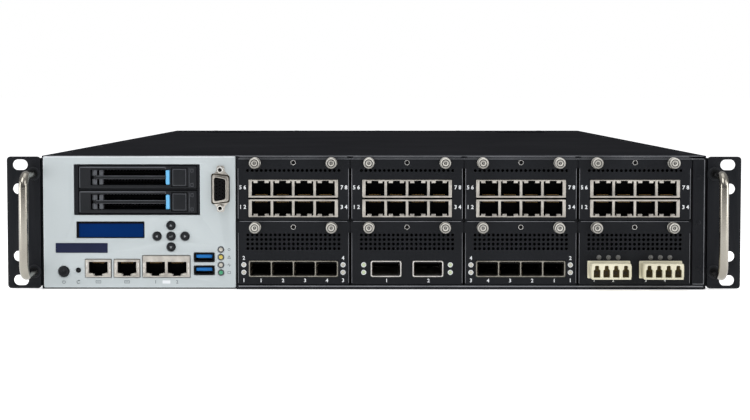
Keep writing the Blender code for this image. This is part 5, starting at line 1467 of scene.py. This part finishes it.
@dataclass
class DriveTray:
    """One hot-swap drive: its bezel and rails, its lever, its release button and the drive."""

    level: str
    bezel_depth: float = 12.0
    recess_left: float = 7.6
    recess_width: float = 52.4
    recess_height: float = 10.2
    release_left: float = 61.0
    release_width: float = 10.1
    left: float = field(init=False)
    bottom: float = field(init=False)
    width: float = field(init=False)
    height: float = field(init=False)

    def __post_init__(self) -> None:
        """Reads the tray's place from its node."""
        low, high = box_of(f"drive_tray_{self.level}")
        self.left, self.bottom, self.width, self.height = low.x, low.z, high.x - low.x, high.z - low.z

    def put(self, name: str, shape: Shape, finish: Finish, body: str, stands_for: Sequence[str] = ()) -> None:
        """Adds a piece in the tray's frame."""
        piece(f"{name}_{self.level}", shape, finish, f"{body}_{self.level}", stands_for,
              at(self.left, FRONT, self.bottom))

    def build(self) -> None:
        """Makes the whole tray."""
        w, h, mid = self.width, self.height, self.height / 2
        low, high = mid - self.recess_height / 2, mid + self.recess_height / 2
        recess = rounded(self.recess_left, low, self.recess_width, self.recess_height, 0.5)
        release = rounded(self.release_left - 0.3, 1.1, self.release_width + 0.6, h - 2.2, 0.4)
        bezel = Shape().plate(rounded(0.1, 0.1, w - 0.2, h - 0.2, 0.7), [recess, release], 0, 6.0, 0.35)
        bezel.box((self.release_left + self.release_width + 0.3, 5.9, 0.3),
                  (w - 0.2, self.bezel_depth, h - 0.3), 0.2)
        bezel.box((0.2, 5.9, 0.3), (self.recess_left, self.bezel_depth, h - 0.3), 0.2)
        bezel.box((self.recess_left, 5.9, 0.2), (w - 0.5, self.bezel_depth, low), 0.1)
        bezel.box((self.recess_left, 5.9, high), (w - 0.5, self.bezel_depth, h - 0.2), 0.1)
        for x in (0.1, w - 2.2):
            bezel.box((x, self.bezel_depth - 0.1, 3.1), (x + 2.1, 118, 11.9), 0.3)
        bezel.box((1.5, 113.6, 3.6), (w - 1.5, 115.8, 4.8), 0.2)
        self.put("tray_bezel", bezel, BLACK_PLASTIC, "drive", (f"drive_tray_{self.level}",))
        # Painted highlights: the first three strips, along the bezel's top lip and its left edge.
        trim_and_highlights = Shape().box((0.5, -0.12, h - 1.15), (w - 20.6, 0.1, h - 0.55), 0.08)
        trim_and_highlights.box((0.35, -0.12, 0.7), (0.75, 0.1, h - 0.9), 0.08)
        trim_and_highlights.box((w - 20.9, -0.12, h - 2.1), (w - 20.5, 0.1, h - 0.6), 0.08)
        column = self.release_left + self.release_width + 1.4
        trim_and_highlights.box((column, -0.1, 1.2), (column + 0.22, 0.05, h - 1.4), 0.05)
        for z in (h - 3.4, 2.2):
            trim_and_highlights.plate(rounded(column + 1.0, z - 0.7, 1.8, 2.2, 0.2),
                       [rounded(column + 1.2, z - 0.5, 1.4, 1.8, 0.1)], -0.08, 0.05)
        self.put("tray_trim", trim_and_highlights, GREY_PLASTIC, "drive")
        centre = (self.recess_left + self.recess_width / 2 - 0.5, 0.0, mid)
        mesh = PERFORATED.run(outline_wires([recess]), CHIP, Columns=24, Rows=5, Pitch=2.1, Row_Pitch=1.85,
                              Radius=0.82, Sides=6, Stagger=0.5, Centre=centre, Thickness=0.8)
        self.put("tray_mesh", Shape().take(mesh, at(0, 7.0, 0)), BLACK_AND_SHADE, "drive")
        self.build_lever(mid, low, high)
        self.build_release(h)
        self.build_drive()

    def build_lever(self, mid: float, low: float, high: float) -> None:
        """The pulled lever: its ribbed grip over the pivot, the black bar with painted highlight strips along
        its edges, and its blue end tab.

        Args:
            mid: The middle of the bezel.
            low: The lower edge of the recess.
            high: The upper edge of the recess.
        """
        x0 = self.recess_left + 0.3
        end = self.recess_left + self.recess_width - 0.3
        bar = Shape().box((x0 + 2.0, 0.35, mid - 1.1), (end - 2.4, 3.6, mid + 1.1), 0.3)
        bar.plate([(x0 + 2.4, mid - 1.1), (x0 + 3.4, mid - 1.9), (x0 + 3.4, mid + 1.9),
                   (x0 + 2.4, mid + 1.1)],
                  [], 0.15, 1.2, 0.1)
        bar.plate([(x0 + 0.9, mid), (x0 + 2.5, mid - 1.2), (x0 + 2.5, mid + 1.2)], [], 1.1, 1.7, 0.1)
        self.put("lever_bar", bar, BLACK_PLASTIC, "drive_lever", (f"drive_lever_{self.level}",))
        # Painted highlights: light grey strips along the bar's upper and lower edges.
        line = Shape().box((x0 + 3.0, 0.2, mid + 0.75), (end - 2.6, 0.5, mid + 1.08), 0.08)
        line.box((x0 + 3.0, 0.2, mid - 1.05), (end - 2.6, 0.5, mid - 0.85), 0.08)
        self.put("lever_line", line, GREY_PLASTIC, "drive_lever")
        tab = Shape().box((end - 2.6, 0.3, low + 0.25), (end, 3.7, high - 0.25), 0.35)
        self.put("lever_tab", tab, BLUE, "drive_lever")
        grip = Shape()
        for bottom, top in ((low + 0.3, mid - 1.1), (mid + 1.1, high - 0.3)):
            grip.plate(self.barrel(x0, 0.25), [], -top, -bottom, 0.15, UPWARD)
            grip.box((x0 + 5.4, 0.6, bottom), (x0 + 7.8, 5.2, top), 0.2)
            for k in range(max(int((top - bottom) / 0.9), 1)):
                z = bottom + 0.5 + k * 0.9
                grip.plate(self.barrel(x0, 0.0), [], -z - 0.2, 0.2 - z, 0.1, UPWARD)
                grip.box((x0 + 5.55, 0.3, z - 0.2), (x0 + 7.65, 0.7, z + 0.2), 0.12)
        self.put("lever_grip", grip, GREY_PLASTIC, "drive_lever")

    @staticmethod
    def barrel(left: float, inset_by: float) -> Flat:
        """The grip's outline from above, rounded about the pivot so that it clears the recess as it turns.

        Args:
            left: The grip's left side.
            inset_by: How far the outline lies inside the outermost rib.

        Returns:
            The outline's corners.
        """
        reach, side = 3.0 - inset_by, left + 3.0
        round_part = [(side - reach * math.cos(a), 3.3 - reach * math.sin(a))
                      for a in (math.pi / 2 * k / 6 for k in range(7))]
        return [*round_part, (left + 3.9, 3.3 - reach), (left + 3.9, 5.2), (left + inset_by, 5.2)]

    def build_release(self, height: float) -> None:
        """The square button with its thin pale border."""
        x, w = self.release_left, self.release_width
        cap = Shape().plate(rounded(x, 1.4, w, height - 2.8, 0.5), [], 0.25, 4.6, 0.3)
        self.put("release_cap", cap, BLACK_PLASTIC, "drive_release", (f"drive_release_{self.level}",))
        line = Shape().plate(rounded(x + 0.7, 2.1, w - 1.4, height - 4.2, 0.4),
                             [rounded(x + 0.95, 2.35, w - 1.9, height - 4.7, 0.3)], 0.17, 0.4)
        self.put("release_border", line, GREY_PLASTIC, "drive_release")

    def build_drive(self) -> None:
        """The drive's case with its lid line and screws, and a dark plate of painted shade on its front end.
        """
        corner = Vector((self.left, FRONT, self.bottom))
        (x0, y0, z0), (x1, y1, z1) = (spot - corner for spot in box_of(f"drive_{self.level}"))
        case = Shape().box((x0, y0, z0), (x1, y1, z1 - 1.3), 0.4)
        case.box((x0 + 0.5, y0 + 0.5, z1 - 1.4), (x1 - 0.5, y1 - 0.5, z1), 0.4)
        head = screw_head(1.6, 0.3)
        for x, y in product((x0 + 4, x1 - 4), (y0 + 8, y1 - 8)):
            case.take(head, at(x, y, z1 - 0.05) @ UPWARD)
        self.put("drive_case", case, ALUMINIUM, "drive", (f"drive_{self.level}",))
        # Painted shade: a dark plate over the drive's front end, seen through the mesh.
        end = Shape().plate(rounded(x0 + 0.4, z0 + 0.4, x1 - x0 - 0.8, z1 - z0 - 0.8, 0.4), [], y0 - 0.15,
                            y0 + 0.05)
        self.put("drive_end", end, BLACK_AND_SHADE, "drive")


@dataclass
class Cover:
    """The top cover with its screws, a painted highlight strip along its front edge and its two oval grips.
    """

    screws: int = 6

    def build(self) -> None:
        """Makes the cover."""
        (x0, y0, bottom), (x1, y1, top) = box_of("top_cover")
        flat = at(0, 0, top) @ UPWARD
        lid = Shape().plate(rounded(x0, y0, x1 - x0, y1 - y0, 2.0), [], 0, 1.2, 0.5, flat)
        for x in (x0 + 1.6, x1 - 2.8):
            lid.box((x, y0 + 8, bottom), (x + 1.2, y1 - 8, top - 0.6), 0.3)
        piece("cover_lid", lid, COVER_COAT, "cover", ("top_cover",))
        # Painted highlight: a light strip along the cover's front edge.
        rim = Shape().box((x0 + 2.0, y0 - 0.05, top - 0.5), (x1 - 2.0, y0 + 0.3, top + 0.05), 0.12)
        piece("cover_front_edge", rim, EDGE_HIGHLIGHT, "cover")
        grips = Shape()
        for side in (-1, 1):
            oval = rounded(side * 150 - 26, y1 - 92, 52, 20, 9.9, 8)
            grips.plate(oval, [inset(oval, 1.6)], -0.35, 0.2, 0.3, flat)
        piece("cover_grips", grips, COVER_COAT, "cover")
        step = (y1 - y0 - 60) / (self.screws - 1)
        spots = [(x, y0 + 40 + k * step, top) for x in (x0 + 9, x1 - 9) for k in range(self.screws)]
        spots += [(x0 + (k + 0.5) * (x1 - x0) / 5, y1 - 8, top) for k in range(5)]
        seat = Shape().turned([(0.1, -0.05), (3.4, -0.05), (3.7, 0.1), (3.7, 0.3)], 0, 0, 0, 24, UPWARD)
        head = Shape().take(screw_head(2.6, 0.25), UPWARD)
        piece("cover_screws", spread(head, BLACK_PLASTIC, spots), BLACK_PLASTIC, "cover")
        piece("cover_screw_seats", spread(seat, COVER_COAT, spots), COVER_COAT, "cover")


@dataclass
class Chassis:
    """The base pan's details, the module cage's front edges and the sides' fasteners."""

    def build(self) -> None:
        """Makes the hem, the sides and the rear."""
        self.build_hem()
        self.build_sides()
        self.build_rear()

    def build_hem(self) -> None:
        """Painted highlight strips on the folded edge under the modules, the cage's top edge and the plain
        strip at their right, painted shade strips in the gaps between the modules, and the strip's rivets.
        """
        high = box_of("module_cage")[1]
        # Painted highlights: light strips along the plain strip, the folded edge under the modules and the
        # cage's top edge.
        edges = Shape().box((high.x - 7.5, FRONT - 0.12, 3.4), (high.x - 0.3, FRONT + 0.1, 3.8), 0.1)
        edges.box((high.x - 0.5, FRONT - 0.12, 3.4), (high.x - 0.05, FRONT + 0.1, high.z - 0.5), 0.1)
        left = box_of("copper_module_1_carrier")[0].x + 1
        edges.box((left, FRONT - 0.12, 1.6), (high.x - 0.5, FRONT + 0.1, 2.4), 0.2)
        edges.box((left, FRONT - 0.05, high.z - 0.45), (high.x - 0.5, FRONT + 0.4, high.z + 0.05), 0.15)
        piece("front_edge_lines", edges, EDGE_HIGHLIGHT)
        # Painted shade: dark strips behind the gaps between the modules' faceplates.
        gap_shade = Shape()
        for name in MODULE_NAMES:
            mlow, mhigh = box_of(f"{name}_carrier")
            for x in (mlow.x, mhigh.x):
                gap_shade.box((x - 0.55, FRONT + 0.75, mlow.z + 0.3), (x + 0.55, FRONT + 0.95, mhigh.z - 8.0))
        piece("module_gaps", gap_shade, BLACK_AND_SHADE)
        joints = Shape()
        for z in (14.0, 44.0, 74.0):
            joints.turned([(0.1, -0.3), (1.2, -0.3), (1.6, -0.1), (1.6, 0.2)], high.x - 3.9, FRONT, z, 16)
        piece("strip_rivets", joints, BLACK_COAT)

    def build_sides(self) -> None:
        """Rack-rail studs, screws and rows of vents, drawn as thin dark pads of painted shade, on both side
        walls.
        """
        for side, name, x in ((Facing.LEFT, "left", CHASSIS_LOW.x), (Facing.RIGHT, "right", CHASSIS_HIGH.x)):
            wall = facing(side, x, 0, 0)
            along = 1 if side is Facing.RIGHT else -1
            studs, heads, vent_shade = Shape(), Shape(), Shape()
            for y in (-180, -20, 140, 250):
                studs.turned([(1.0, -2.6), (3.6, -2.6), (3.8, -2.4), (3.8, -1.9), (2.2, -1.8), (2.2, 0.1)],
                             along * y, 0, 44, 24, wall)
            back = CHASSIS_HIGH.y
            spots = [(FRONT + y, -2.1, z) for y, z in product((22, 34, 46), (24, 64))]
            spots += [(back - 12, 0, 20), (back - 12, 0, 68), (back - 180, 0, 68)]
            for y, out, z in spots:
                heads.take(screw_head(2.4, 1.2), wall @ at(along * y, out, z))
            # Painted shade: thin dark pads stand in for the vent openings.
            for level, k in product((30, 44, 58), range(14)):
                y = -120 + k * 9.0
                vent_shade.plate(rounded(along * y - 3.0, level - 1.2, 6.0, 2.4, 1.1, 3), [], -0.06, 0.02, 0.0,
                           wall)
            piece(f"rail_studs_{name}", studs, ZINC)
            piece(f"side_screws_{name}", heads, NICKEL)
            piece(f"side_vents_{name}", vent_shade, BLACK_AND_SHADE)

    def build_rear(self) -> None:
        """The wire guards over the fans, the rear screws and the earth stud."""
        guards, screws = Shape(), Shape()
        wall = facing(Facing.REAR, 0, CHASSIS_HIGH.y, 0)
        head = screw_head(2.7, 1.3)
        spoke = Shape().box((-38.5, -0.9, -0.6), (38.5, -0.1, 0.6), 0.3)
        for k in range(4):
            middle = middle_of(f"fan_rotor_{k + 1}")
            hub = wall @ at(-middle.x, 0, middle.z)
            for radius in (9.0, 16.0, 23.0, 30.0, 37.0):
                guards.plate(circle(0, 0, radius + 0.6, 48), [circle(0, 0, radius - 0.6, 48)], -1.7, -0.5,
                             0.35, hub)
            for turn in (45, 135):
                guards.take(spoke, hub @ Matrix.Rotation(math.radians(turn), 4, "Y"))
            for dx, dz in product((-35.75, 35.75), repeat=2):
                screws.take(head, hub @ at(-dx, 0, dz))
        piece("fan_guards", guards, POLISHED)
        x = box_of("fan_tray")[1].x + 14
        stud = Shape().turned([(0.3, -9.0), (1.6, -9.0), (2.0, -8.6), (2.0, -3.2)], -x, 0, 22, 16, wall)
        stud.turned([(0.5, -4.2), (3.3, -4.2), (4.0, -3.8), (4.0, -1.2), (0.5, -1.2)], -x, 0, 22, 6, wall)
        stud.turned([(0.5, -1.3), (4.8, -1.3), (4.9, -0.1)], -x, 0, 22, 24, wall)
        piece("earth_stud", stud, ZINC)
        for x, z in ((CHASSIS_LOW.x + 5, 6), (CHASSIS_LOW.x + 5, 80), (CHASSIS_HIGH.x - 3.4, 84), (-x, 40),
                     (-x, 70)):
            screws.take(head, wall @ at(-x if abs(x) > 150 else x, 0, z))
        piece("rear_screws", screws, NICKEL)


@dataclass
class Ear:
    """One rack ear with its bow handle."""

    name: str
    side: int
    slot_inset: float = 8.75
    slot_length: float = 10.0
    slot_width: float = 7.0
    slot_heights: tuple[float, ...] = (-38.1, -22.25, 22.25, 38.1)
    sheet: float = 2.0
    bar: float = 3.0
    legs: float = 64.5

    def build(self) -> None:
        """Makes the ear and the handle."""
        low, high = box_of(f"ear_{self.name}")
        middle = (low.z + high.z) / 2
        outer = high.x if self.side > 0 else low.x
        left = outer - self.side * self.slot_inset - self.slot_length / 2
        slots = [rounded(left, middle + z - self.slot_width / 2, self.slot_length, self.slot_width,
                         self.slot_width / 2 - 0.01, 8) for z in self.slot_heights]
        outline = rounded(low.x, low.z, high.x - low.x, high.z - low.z, 2.2)
        made = Shape().plate(outline, slots, FRONT, FRONT + self.sheet, 0.5)
        inner = sorted((outer - self.side * 22.0, outer - self.side * 20.0))
        made.box((inner[0], FRONT + 1.0, low.z + 1.2), (inner[1], high.y, high.z - 1.2), 0.4)
        piece(f"ear_plate_{self.name}", made, BLACK_COAT, "root", (f"ear_{self.name}",))
        place = at(middle_of(f"handle_{self.name}").x, FRONT, middle)
        half, reach = self.legs / 2, box_of(f"handle_{self.name}")[0].y + self.bar - FRONT
        wire = Shape().wire([(0, -0.3, -half), (0, reach, -half), (0, reach, half), (0, -0.3, half)])
        bow = BAR.run(wire, POLISHED, Radius=self.bar, Bend=7.5, Sides=28)
        piece(f"handle_bow_{self.name}", bow, POLISHED, "root", (f"handle_{self.name}",), place)
        ferrules = Shape()
        for z in (-half, half):
            ferrules.turned([(3.25, -2.3), (3.9, -2.3), (4.2, -2.0), (4.3, -0.6), (4.6, -0.3)], 0, 0, z, 28)
        piece(f"handle_ferrules_{self.name}", ferrules, BLACK_PLASTIC, "root", (), place)


@dataclass
class Supply:
    """One power supply: its case, inlet, handle, latch and perforated rear."""

    level: str
    place: Matrix = field(init=False)

    def build(self) -> None:
        """Makes the supply in its own frame, seen from behind: X from its left as seen there."""
        low, high = box_of(f"supply_{self.level}")
        width, height = high.x - low.x, high.z - low.z
        self.place = facing(Facing.REAR, high.x, CHASSIS_HIGH.y + 2.0, low.z)
        left = width - 35.0
        holes = [rounded(left, 9.0, 27.0, 21.0, 3.0), rounded(1.0, 8.0, 9.0, 22.0, 0.6)]
        case = PERFORATED.run(outline_wires([rounded(0, 0, width, height, 0.6), *holes]), ZINC, Columns=7,
                              Rows=9,
                              Pitch=2.7, Row_Pitch=3.4, Radius=1.0, Sides=10, Stagger=0.5,
                              Centre=(21.4, 0.0, height / 2), Thickness=1.0)
        for x in (0.0, width - 1.4):
            case.box((x, 0.9, 0), (x + 1.4, 187, height), 0.2)
        for z in (0.0, height - 1.4):
            case.box((0, 0.9, z), (width, 187, z + 1.4), 0.2)
        case.box((11, 12, 1.4), (width - 1.4, 13, height - 1.4), 0.1)
        self.put("case", case, ZINC, (f"supply_{self.level}",))
        inlet = Shape().plate(rounded(left + 0.2, 9.2, 26.6, 20.6, 2.8),
                              [rounded(left + 1.6, 10.8, 23.8, 17.4, 4.5)],
                              -0.8, 15.0, 0.5)
        inlet.box((left + 1.0, 14.9, 10.0), (left + 26.0, 16.4, 29.0), 0.2)
        inlet.box((left + 8.0, 3.0, 15.5), (left + 19.0, 15.0, 23.5), 1.0)
        self.put("inlet", inlet, BLACK_PLASTIC)
        pins = Shape()
        for x, z in ((10.1, 18.7), (13.5, 20.3), (16.9, 18.7)):
            pins.box((left + x - 1.0, 2.4, z - 0.3), (left + x + 1.0, 3.4, z + 0.3), 0.1)
        self.put("pins", pins, POLISHED)
        x, reach, top = width - 43.0, -24.4, height - 5.5
        wire = Shape().wire([(x, 0.5, 5.5), (x, reach, 5.5), (x, reach, top), (x, 0.5, top)])
        self.put("handle", BAR.run(wire, BLACK_PLASTIC, Radius=1.55, Bend=5.0, Sides=16), BLACK_PLASTIC)
        inside = Shape().box((4, 40, 2.5), (width - 4, 44, height - 6), 0.3)
        coil = Shape().turned([(5, -7), (11, -6), (12, -4), (12, 4), (11, 6), (5, 7)], 0, 0, 0, 24)
        for y in (70, 105, 140):
            inside.take(coil, at(20, y, height / 2 - 2)).box((38, y - 10, 2), (60, y + 10, 26), 1.0)
        self.put("inside", inside, CHIP)
        lamp = Shape().turned([(0.1, -0.6), (0.8, -0.5), (1.1, -0.1), (1.1, 0.4)], width - 4.5, 0,
                              height - 5, 16)
        self.put("lamp", lamp, LAMPS["green"])
        self.build_latch()

    def put(self, part: str, shape: Shape, finish: Finish, stands_for: Sequence[str] = ()) -> None:
        """Adds one of the supply's pieces."""
        piece(f"supply_{part}_{self.level}", shape, finish, f"supply_{self.level}", stands_for, self.place)

    def build_latch(self) -> None:
        """The squeezed latch with its ridged thumb piece."""
        name = f"supply_latch_{self.level}"
        low, high = box_of(name)
        blade = Shape().box((low.x, low.y, low.z), (low.x + 2.0, high.y, high.z), 0.4)
        blade.box((low.x, high.y - 2.0, low.z), high, 0.5)
        for k in range(5):
            z = low.z + 2.6 + k * (high.z - low.z - 5.2) / 4
            blade.box((low.x + 1.0, high.y - 0.4, z - 0.5), (high.x - 0.8, high.y + 0.2, z + 0.5), 0.25)
        piece(f"supply_latch_blade_{self.level}", blade, BLUE, name, (name,))


@dataclass
class Fan:
    """One fan rotor with curved blades."""

    number: int
    blades: int = 7
    hub: float = 18.5
    depth: float = 24.0
    tip: float = 36.0

    def build(self) -> None:
        """Makes the rotor."""
        node, middle = f"fan_rotor_{self.number}", middle_of(f"fan_rotor_{self.number}")
        hub = Shape().turned([(0.5, 1.0), (11.0, 1.0), (11.5, 0.3), (self.hub - 2.5, 0.0),
                              (self.hub - 0.5, 0.8),
                              (self.hub, 2.5), (self.hub, self.depth)], 0, 0, 0, 40)
        hub.take(RING.run(Shape(), BLACK_PLASTIC, {"Part": self.blade()}, Count=self.blades))
        place = at(middle.x, box_of(node)[0].y, middle.z)
        piece(f"fan_wheel_{self.number}", hub, BLACK_PLASTIC, f"fan_{self.number}", (node,), place)

    def blade(self) -> Shape:
        """A blade that twists and sweeps from its root to its tip."""
        rings = []
        stations, points = 7, 10
        for s in range(stations):
            share = s / (stations - 1)
            radius = self.hub - 1.5 + share * (self.tip - self.hub + 1.5)
            pitch, sweep = math.radians(52 - 22 * share), math.radians(-4 + 16 * share)
            chord, thick = 22 + 3 * share, 1.7 - 0.6 * share
            ring = []
            for k in range(points):
                t = 2 * math.pi * k / points
                along, across = chord / 2 * math.cos(t), thick / 2 * math.sin(t) + 1.6 * math.cos(t) ** 2
                y = along * math.cos(pitch) - across * math.sin(pitch)
                lateral = along * math.sin(pitch) + across * math.cos(pitch)
                turn = sweep + lateral / radius
                y = max(-self.depth / 2 + 0.8, min(self.depth / 2 - 0.8, y))
                ring.append((radius * math.sin(turn), self.depth / 2 + y, radius * math.cos(turn)))
            rings.append(ring)
        mesh = Shape().skin(rings).mesh()
        bm = bmesh.new()
        bm.from_mesh(mesh)
        bmesh.ops.recalc_face_normals(bm, faces=bm.faces[:])
        bm.to_mesh(mesh)
        bm.free()
        return Shape().read(mesh)


@dataclass
class Inside:
    """The mainboard with its memory, sockets and small parts, the coolers and the fan frames."""

    memory_count: int = 4
    memory_pitch: float = 7.5

    def build(self) -> None:
        """Makes everything under the cover."""
        self.build_board()
        for side in ("left", "right"):
            self.build_cooler(side)
        self.build_fan_frame()

    def build_board(self) -> None:
        """The mainboard, the upright backplane and what is fitted to them."""
        low, high = box_of("mainboard")
        columns = [middle_of(f"copper_module_{column}_carrier").x for column in (1, 2, 3, 4)]
        board = Shape().box((low.x, low.y, 8.0), (box_of("heatsink_right")[1].x + 42, high.y, 9.6), 0.15)
        left = box_of("copper_module_1_carrier")[0].x
        windows = [rounded(x - 26, z, 52, 16, 1.0) for x, z in product(columns, (21.2, 63.7))]
        board.plate(rounded(left, 8.0, high.x - left, 74.0), windows, low.y, low.y + 2.4)
        piece("mainboard_sheet", board, BOARD, "root", ("mainboard",))
        fitted, slots = Shape(), Shape()
        stick = Shape().box((-0.6, -66.5, 4.0), (0.6, 66.5, 33.0), 0.1)
        chip = Shape().box((-1.3, -4.5, 0), (1.3, 4.5, 11), 0.1)
        seat = Shape().box((-1.4, -68, 0), (1.4, 68, 6.5), 0.2)
        for side in ("left", "right"):
            x, y, _ = middle_of(f"heatsink_{side}")
            fitted.box((x - 35, y - 35, 9.5), (x + 35, y + 35, 16.6), 0.5)
            for edge in (-1, 1):
                first, step = x + edge * 50.0, (edge * self.memory_pitch, 0.0, 0.0)
                slots.take(row(stick, BOARD, self.memory_count, step, at(first, y, 9.6)))
                chips = ROWS.run(Shape(), CHIP, {"Part": chip}, Count=9, Step=(0.0, 13.6, 0.0),
                                 Rows=self.memory_count, Row_Step=step)
                fitted.take(chips, at(first, y - 54.4, 20))
                fitted.take(row(seat, CHIP, self.memory_count, step, at(first, y, 9.5)))
        plug = Shape().box((-25, -6, 0), (25, 0, 11), 0.4)
        for x, z in product(columns, (23.5, 66.0)):
            fitted.take(plug, at(x, low.y + 9, z))
        free = free_area(low.x + 8, low.y + 14, low.x + 190, low.y + 110, 9.6)
        part = Shape().box((-2.6, -2.0, 0), (2.6, 2.0, 1.6), 0.15)
        fitted.take(SCATTER.run(free, CHIP, {"Part": part}, Density=0.004, Spacing=8.0))
        piece("board_parts", fitted, CHIP)
        piece("memory_sticks", slots, BOARD)
        can = Shape().turned([(0.3, -9.0), (3.4, -9.0), (4.0, -8.6), (4.0, 0.0)], 0, 0, 0, 20, UPWARD)
        first = box_of("module_cage")[0].x + 150
        places = [(first + k * 11, low.y + 124 + (k % 2) * 9, 9.6) for k in range(12)]
        piece("board_capacitors", spread(can, ALUMINIUM, places), ALUMINIUM)

    @staticmethod
    def build_cooler(side: str) -> None:
        """A finned processor cooler on its base.

        Args:
            side: Either left or right.
        """
        low, high = box_of(f"heatsink_{side}")
        base = Shape().box(low, (high.x, high.y, low.z + 6.0), 0.4)
        fin = Shape().box((0, low.y, low.z + 5.8), (0.6, high.y, high.z), 0.1)
        count = 27
        step = (high.x - low.x - 0.6) / (count - 1)
        base.take(row(fin, ALUMINIUM, count, (step, 0.0, 0.0), at(low.x)))
        piece(f"cooler_{side}", base, ALUMINIUM, "root", (f"heatsink_{side}",))

    @staticmethod
    def build_fan_frame() -> None:
        """The frames of the four fans, with their motor mounts and stays."""
        low, high = box_of("fan_tray")
        centres = [middle_of(f"fan_rotor_{k}") for k in (1, 2, 3, 4)]
        holes = [circle(x, z, 38.0, 64) for x, _, z in centres]
        outline = rounded(low.x, low.z, high.x - low.x, high.z - low.z, 3.0)
        frames = Shape().plate(outline, holes, low.y, high.y, 0.8)
        stay = Shape().box((-38.6, -2.4, -1.8), (38.6, -0.6, 1.8), 0.4)
        for x, _, z in centres:
            frames.turned([(18.5, -3.0), (18.5, -0.4), (17.8, 0.0)], x, high.y, z, 40)
            for turn in (0, 90):
                frames.take(stay, at(x, high.y, z) @ Matrix.Rotation(math.radians(turn), 4, "Y"))
        piece("fan_frames", frames, BLACK_PLASTIC, "root", ("fan_tray",))


@dataclass
class Studio:
    """The pale floor, the soft lights and the camera, in metres."""

    eye: tuple[float, float, float] = (0.00605, -1.3007, 0.1297)
    tilt: float = 87.4
    turn: float = 0.3
    lens: float = 71.54
    shift_y: float = -0.0667
    floor_size: float = 60.0

    def build(self) -> None:
        """Makes the floor, the lights, the world and the camera."""
        mesh = bpy.data.meshes.new("studio_floor")
        half = self.floor_size / 2
        corners = [(x, z, 0) for x, z in rounded(-half, -half, self.floor_size, self.floor_size)]
        mesh.from_pydata(corners, [], [(0, 1, 2, 3)])
        mesh.materials.append(FLOOR.material())
        floor = bpy.data.objects.new("studio_floor", mesh)
        floor.location.z = -0.0004
        bpy.context.scene.collection.objects.link(floor)
        self.light("key_light", (-0.9, -1.3, 1.7), (50, 0, -35), 1.2, 17)
        self.light("fill_light", (1.2, -1.2, 0.9), (65, 0, 48), 0.9, 6)
        self.light("left_side_light", (-0.75, -0.5, 0.16), (90, 0, -80), 0.3, 1.5)
        self.light("right_side_light", (0.75, -0.5, 0.16), (90, 0, 80), 0.3, 1.5)
        self.light("top_light", (0.0, -0.1, 1.6), (0, 0, 0), 1.2, 6)
        bpy.context.scene.world = self.sky()
        data = bpy.data.cameras.new("camera")
        data.lens, data.sensor_width, data.shift_y = self.lens, 36.0, self.shift_y
        data.clip_end = 100.0
        camera = bpy.data.objects.new("camera", data)
        camera.location = self.eye
        camera.rotation_euler = (math.radians(self.tilt), 0.0, math.radians(self.turn))
        bpy.context.scene.collection.objects.link(camera)
        bpy.context.scene.camera = camera
        bpy.context.scene.view_settings.view_transform = "Standard"

    @staticmethod
    def sky() -> bpy.types.World:
        """A white surround that lights the object softly, more from above than from the sides."""
        world = bpy.data.worlds.new("studio_world")
        world.use_nodes = True
        tree = world.node_tree
        direction = add_shader(tree, "TexCoord", "Generated")
        height = add_shader(tree, "SeparateXYZ", "Z", Vector=direction)
        lit = tree.nodes["Background"]
        feed(tree, lit, Color=add_ramp(tree, height, (0.05, 0.7), (0.16, 0.16, 0.17), (0.62, 0.62, 0.63)))
        plain = add_shader(tree, "Background", "Background", Color=(1.0, 1.0, 1.0, 1.0))
        mix = add_shader(tree, "MixShader", "Shader", Fac=add_shader(tree, "LightPath", "Is Camera Ray"))
        for socket, shader in zip(mix.node.inputs[1:], (lit.outputs["Background"], plain)):
            tree.links.new(shader, socket)
        feed(tree, tree.nodes["World Output"], Surface=mix)
        return world

    @staticmethod
    def light(name: str, place: Triple, turn: Triple, size: float, power: float) -> None:
        """A square soft light.

        Args:
            name: The light's name.
            place: Where it stands.
            turn: Its turn in degrees.
            size: Its side.
            power: In watts.
        """
        data = bpy.data.lights.new(name, "AREA")
        data.shape, data.size, data.energy = "SQUARE", size, power
        made = bpy.data.objects.new(name, data)
        made.location, made.rotation_euler = place, [math.radians(angle) for angle in turn]
        bpy.context.scene.collection.objects.link(made)


def dress_carried_nodes() -> None:
    """Gives the nodes that stay visible their finishes."""
    for node, finish in CARRIED.items():
        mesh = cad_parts[node].data
        mesh.materials.clear()
        mesh.materials.append(finish.material())
        log.info("%s: carried over", node)


def modules() -> list[Module]:
    """The eight modules: four of copper ports above; two pluggable, one wide and one fibre module below."""
    wide = dict(cages=((-23.9, 20.2, 1), (3.7, 20.2, 1)), cage_depth=56.0, under_digits=("1", "2"),
                side_digits=(),
                lamp_x=(-28.5, 28.5), metal=BRIGHT_CAGE, lamp="pale")
    copper = [CopperModule(f"copper_module_{k}", "ports", vent_rows=1) for k in (1, 2, 3, 4)]
    return [*copper, CageModule("sfp_module_1", "cage"),
            CageModule("sfp_module_2", "cage", side_digits=("4", "3", "2", "1"),
                       under_digits=("4", "3", "2", "1")),
            CageModule("qsfp_module", "cages", **wide),
            FibreModule("fibre_module", "adapters")]


def main() -> None:
    """Builds the appliance and the studio round it."""
    logging.basicConfig(level=logging.INFO, format="%(message)s")
    Studio().build()
    dress_carried_nodes()
    Cover().build()
    Chassis().build()
    for name, side in (("left", -1), ("right", 1)):
        Ear(name, side).build()
    for module in modules():
        module.build()
    ControlPanel().build()
    for level in ("lower", "upper"):
        DriveTray(level).build()
        Supply(level).build()
    Inside().build()
    for number in range(1, 5):
        Fan(number).build()


if __name__ == "__main__":
    main()
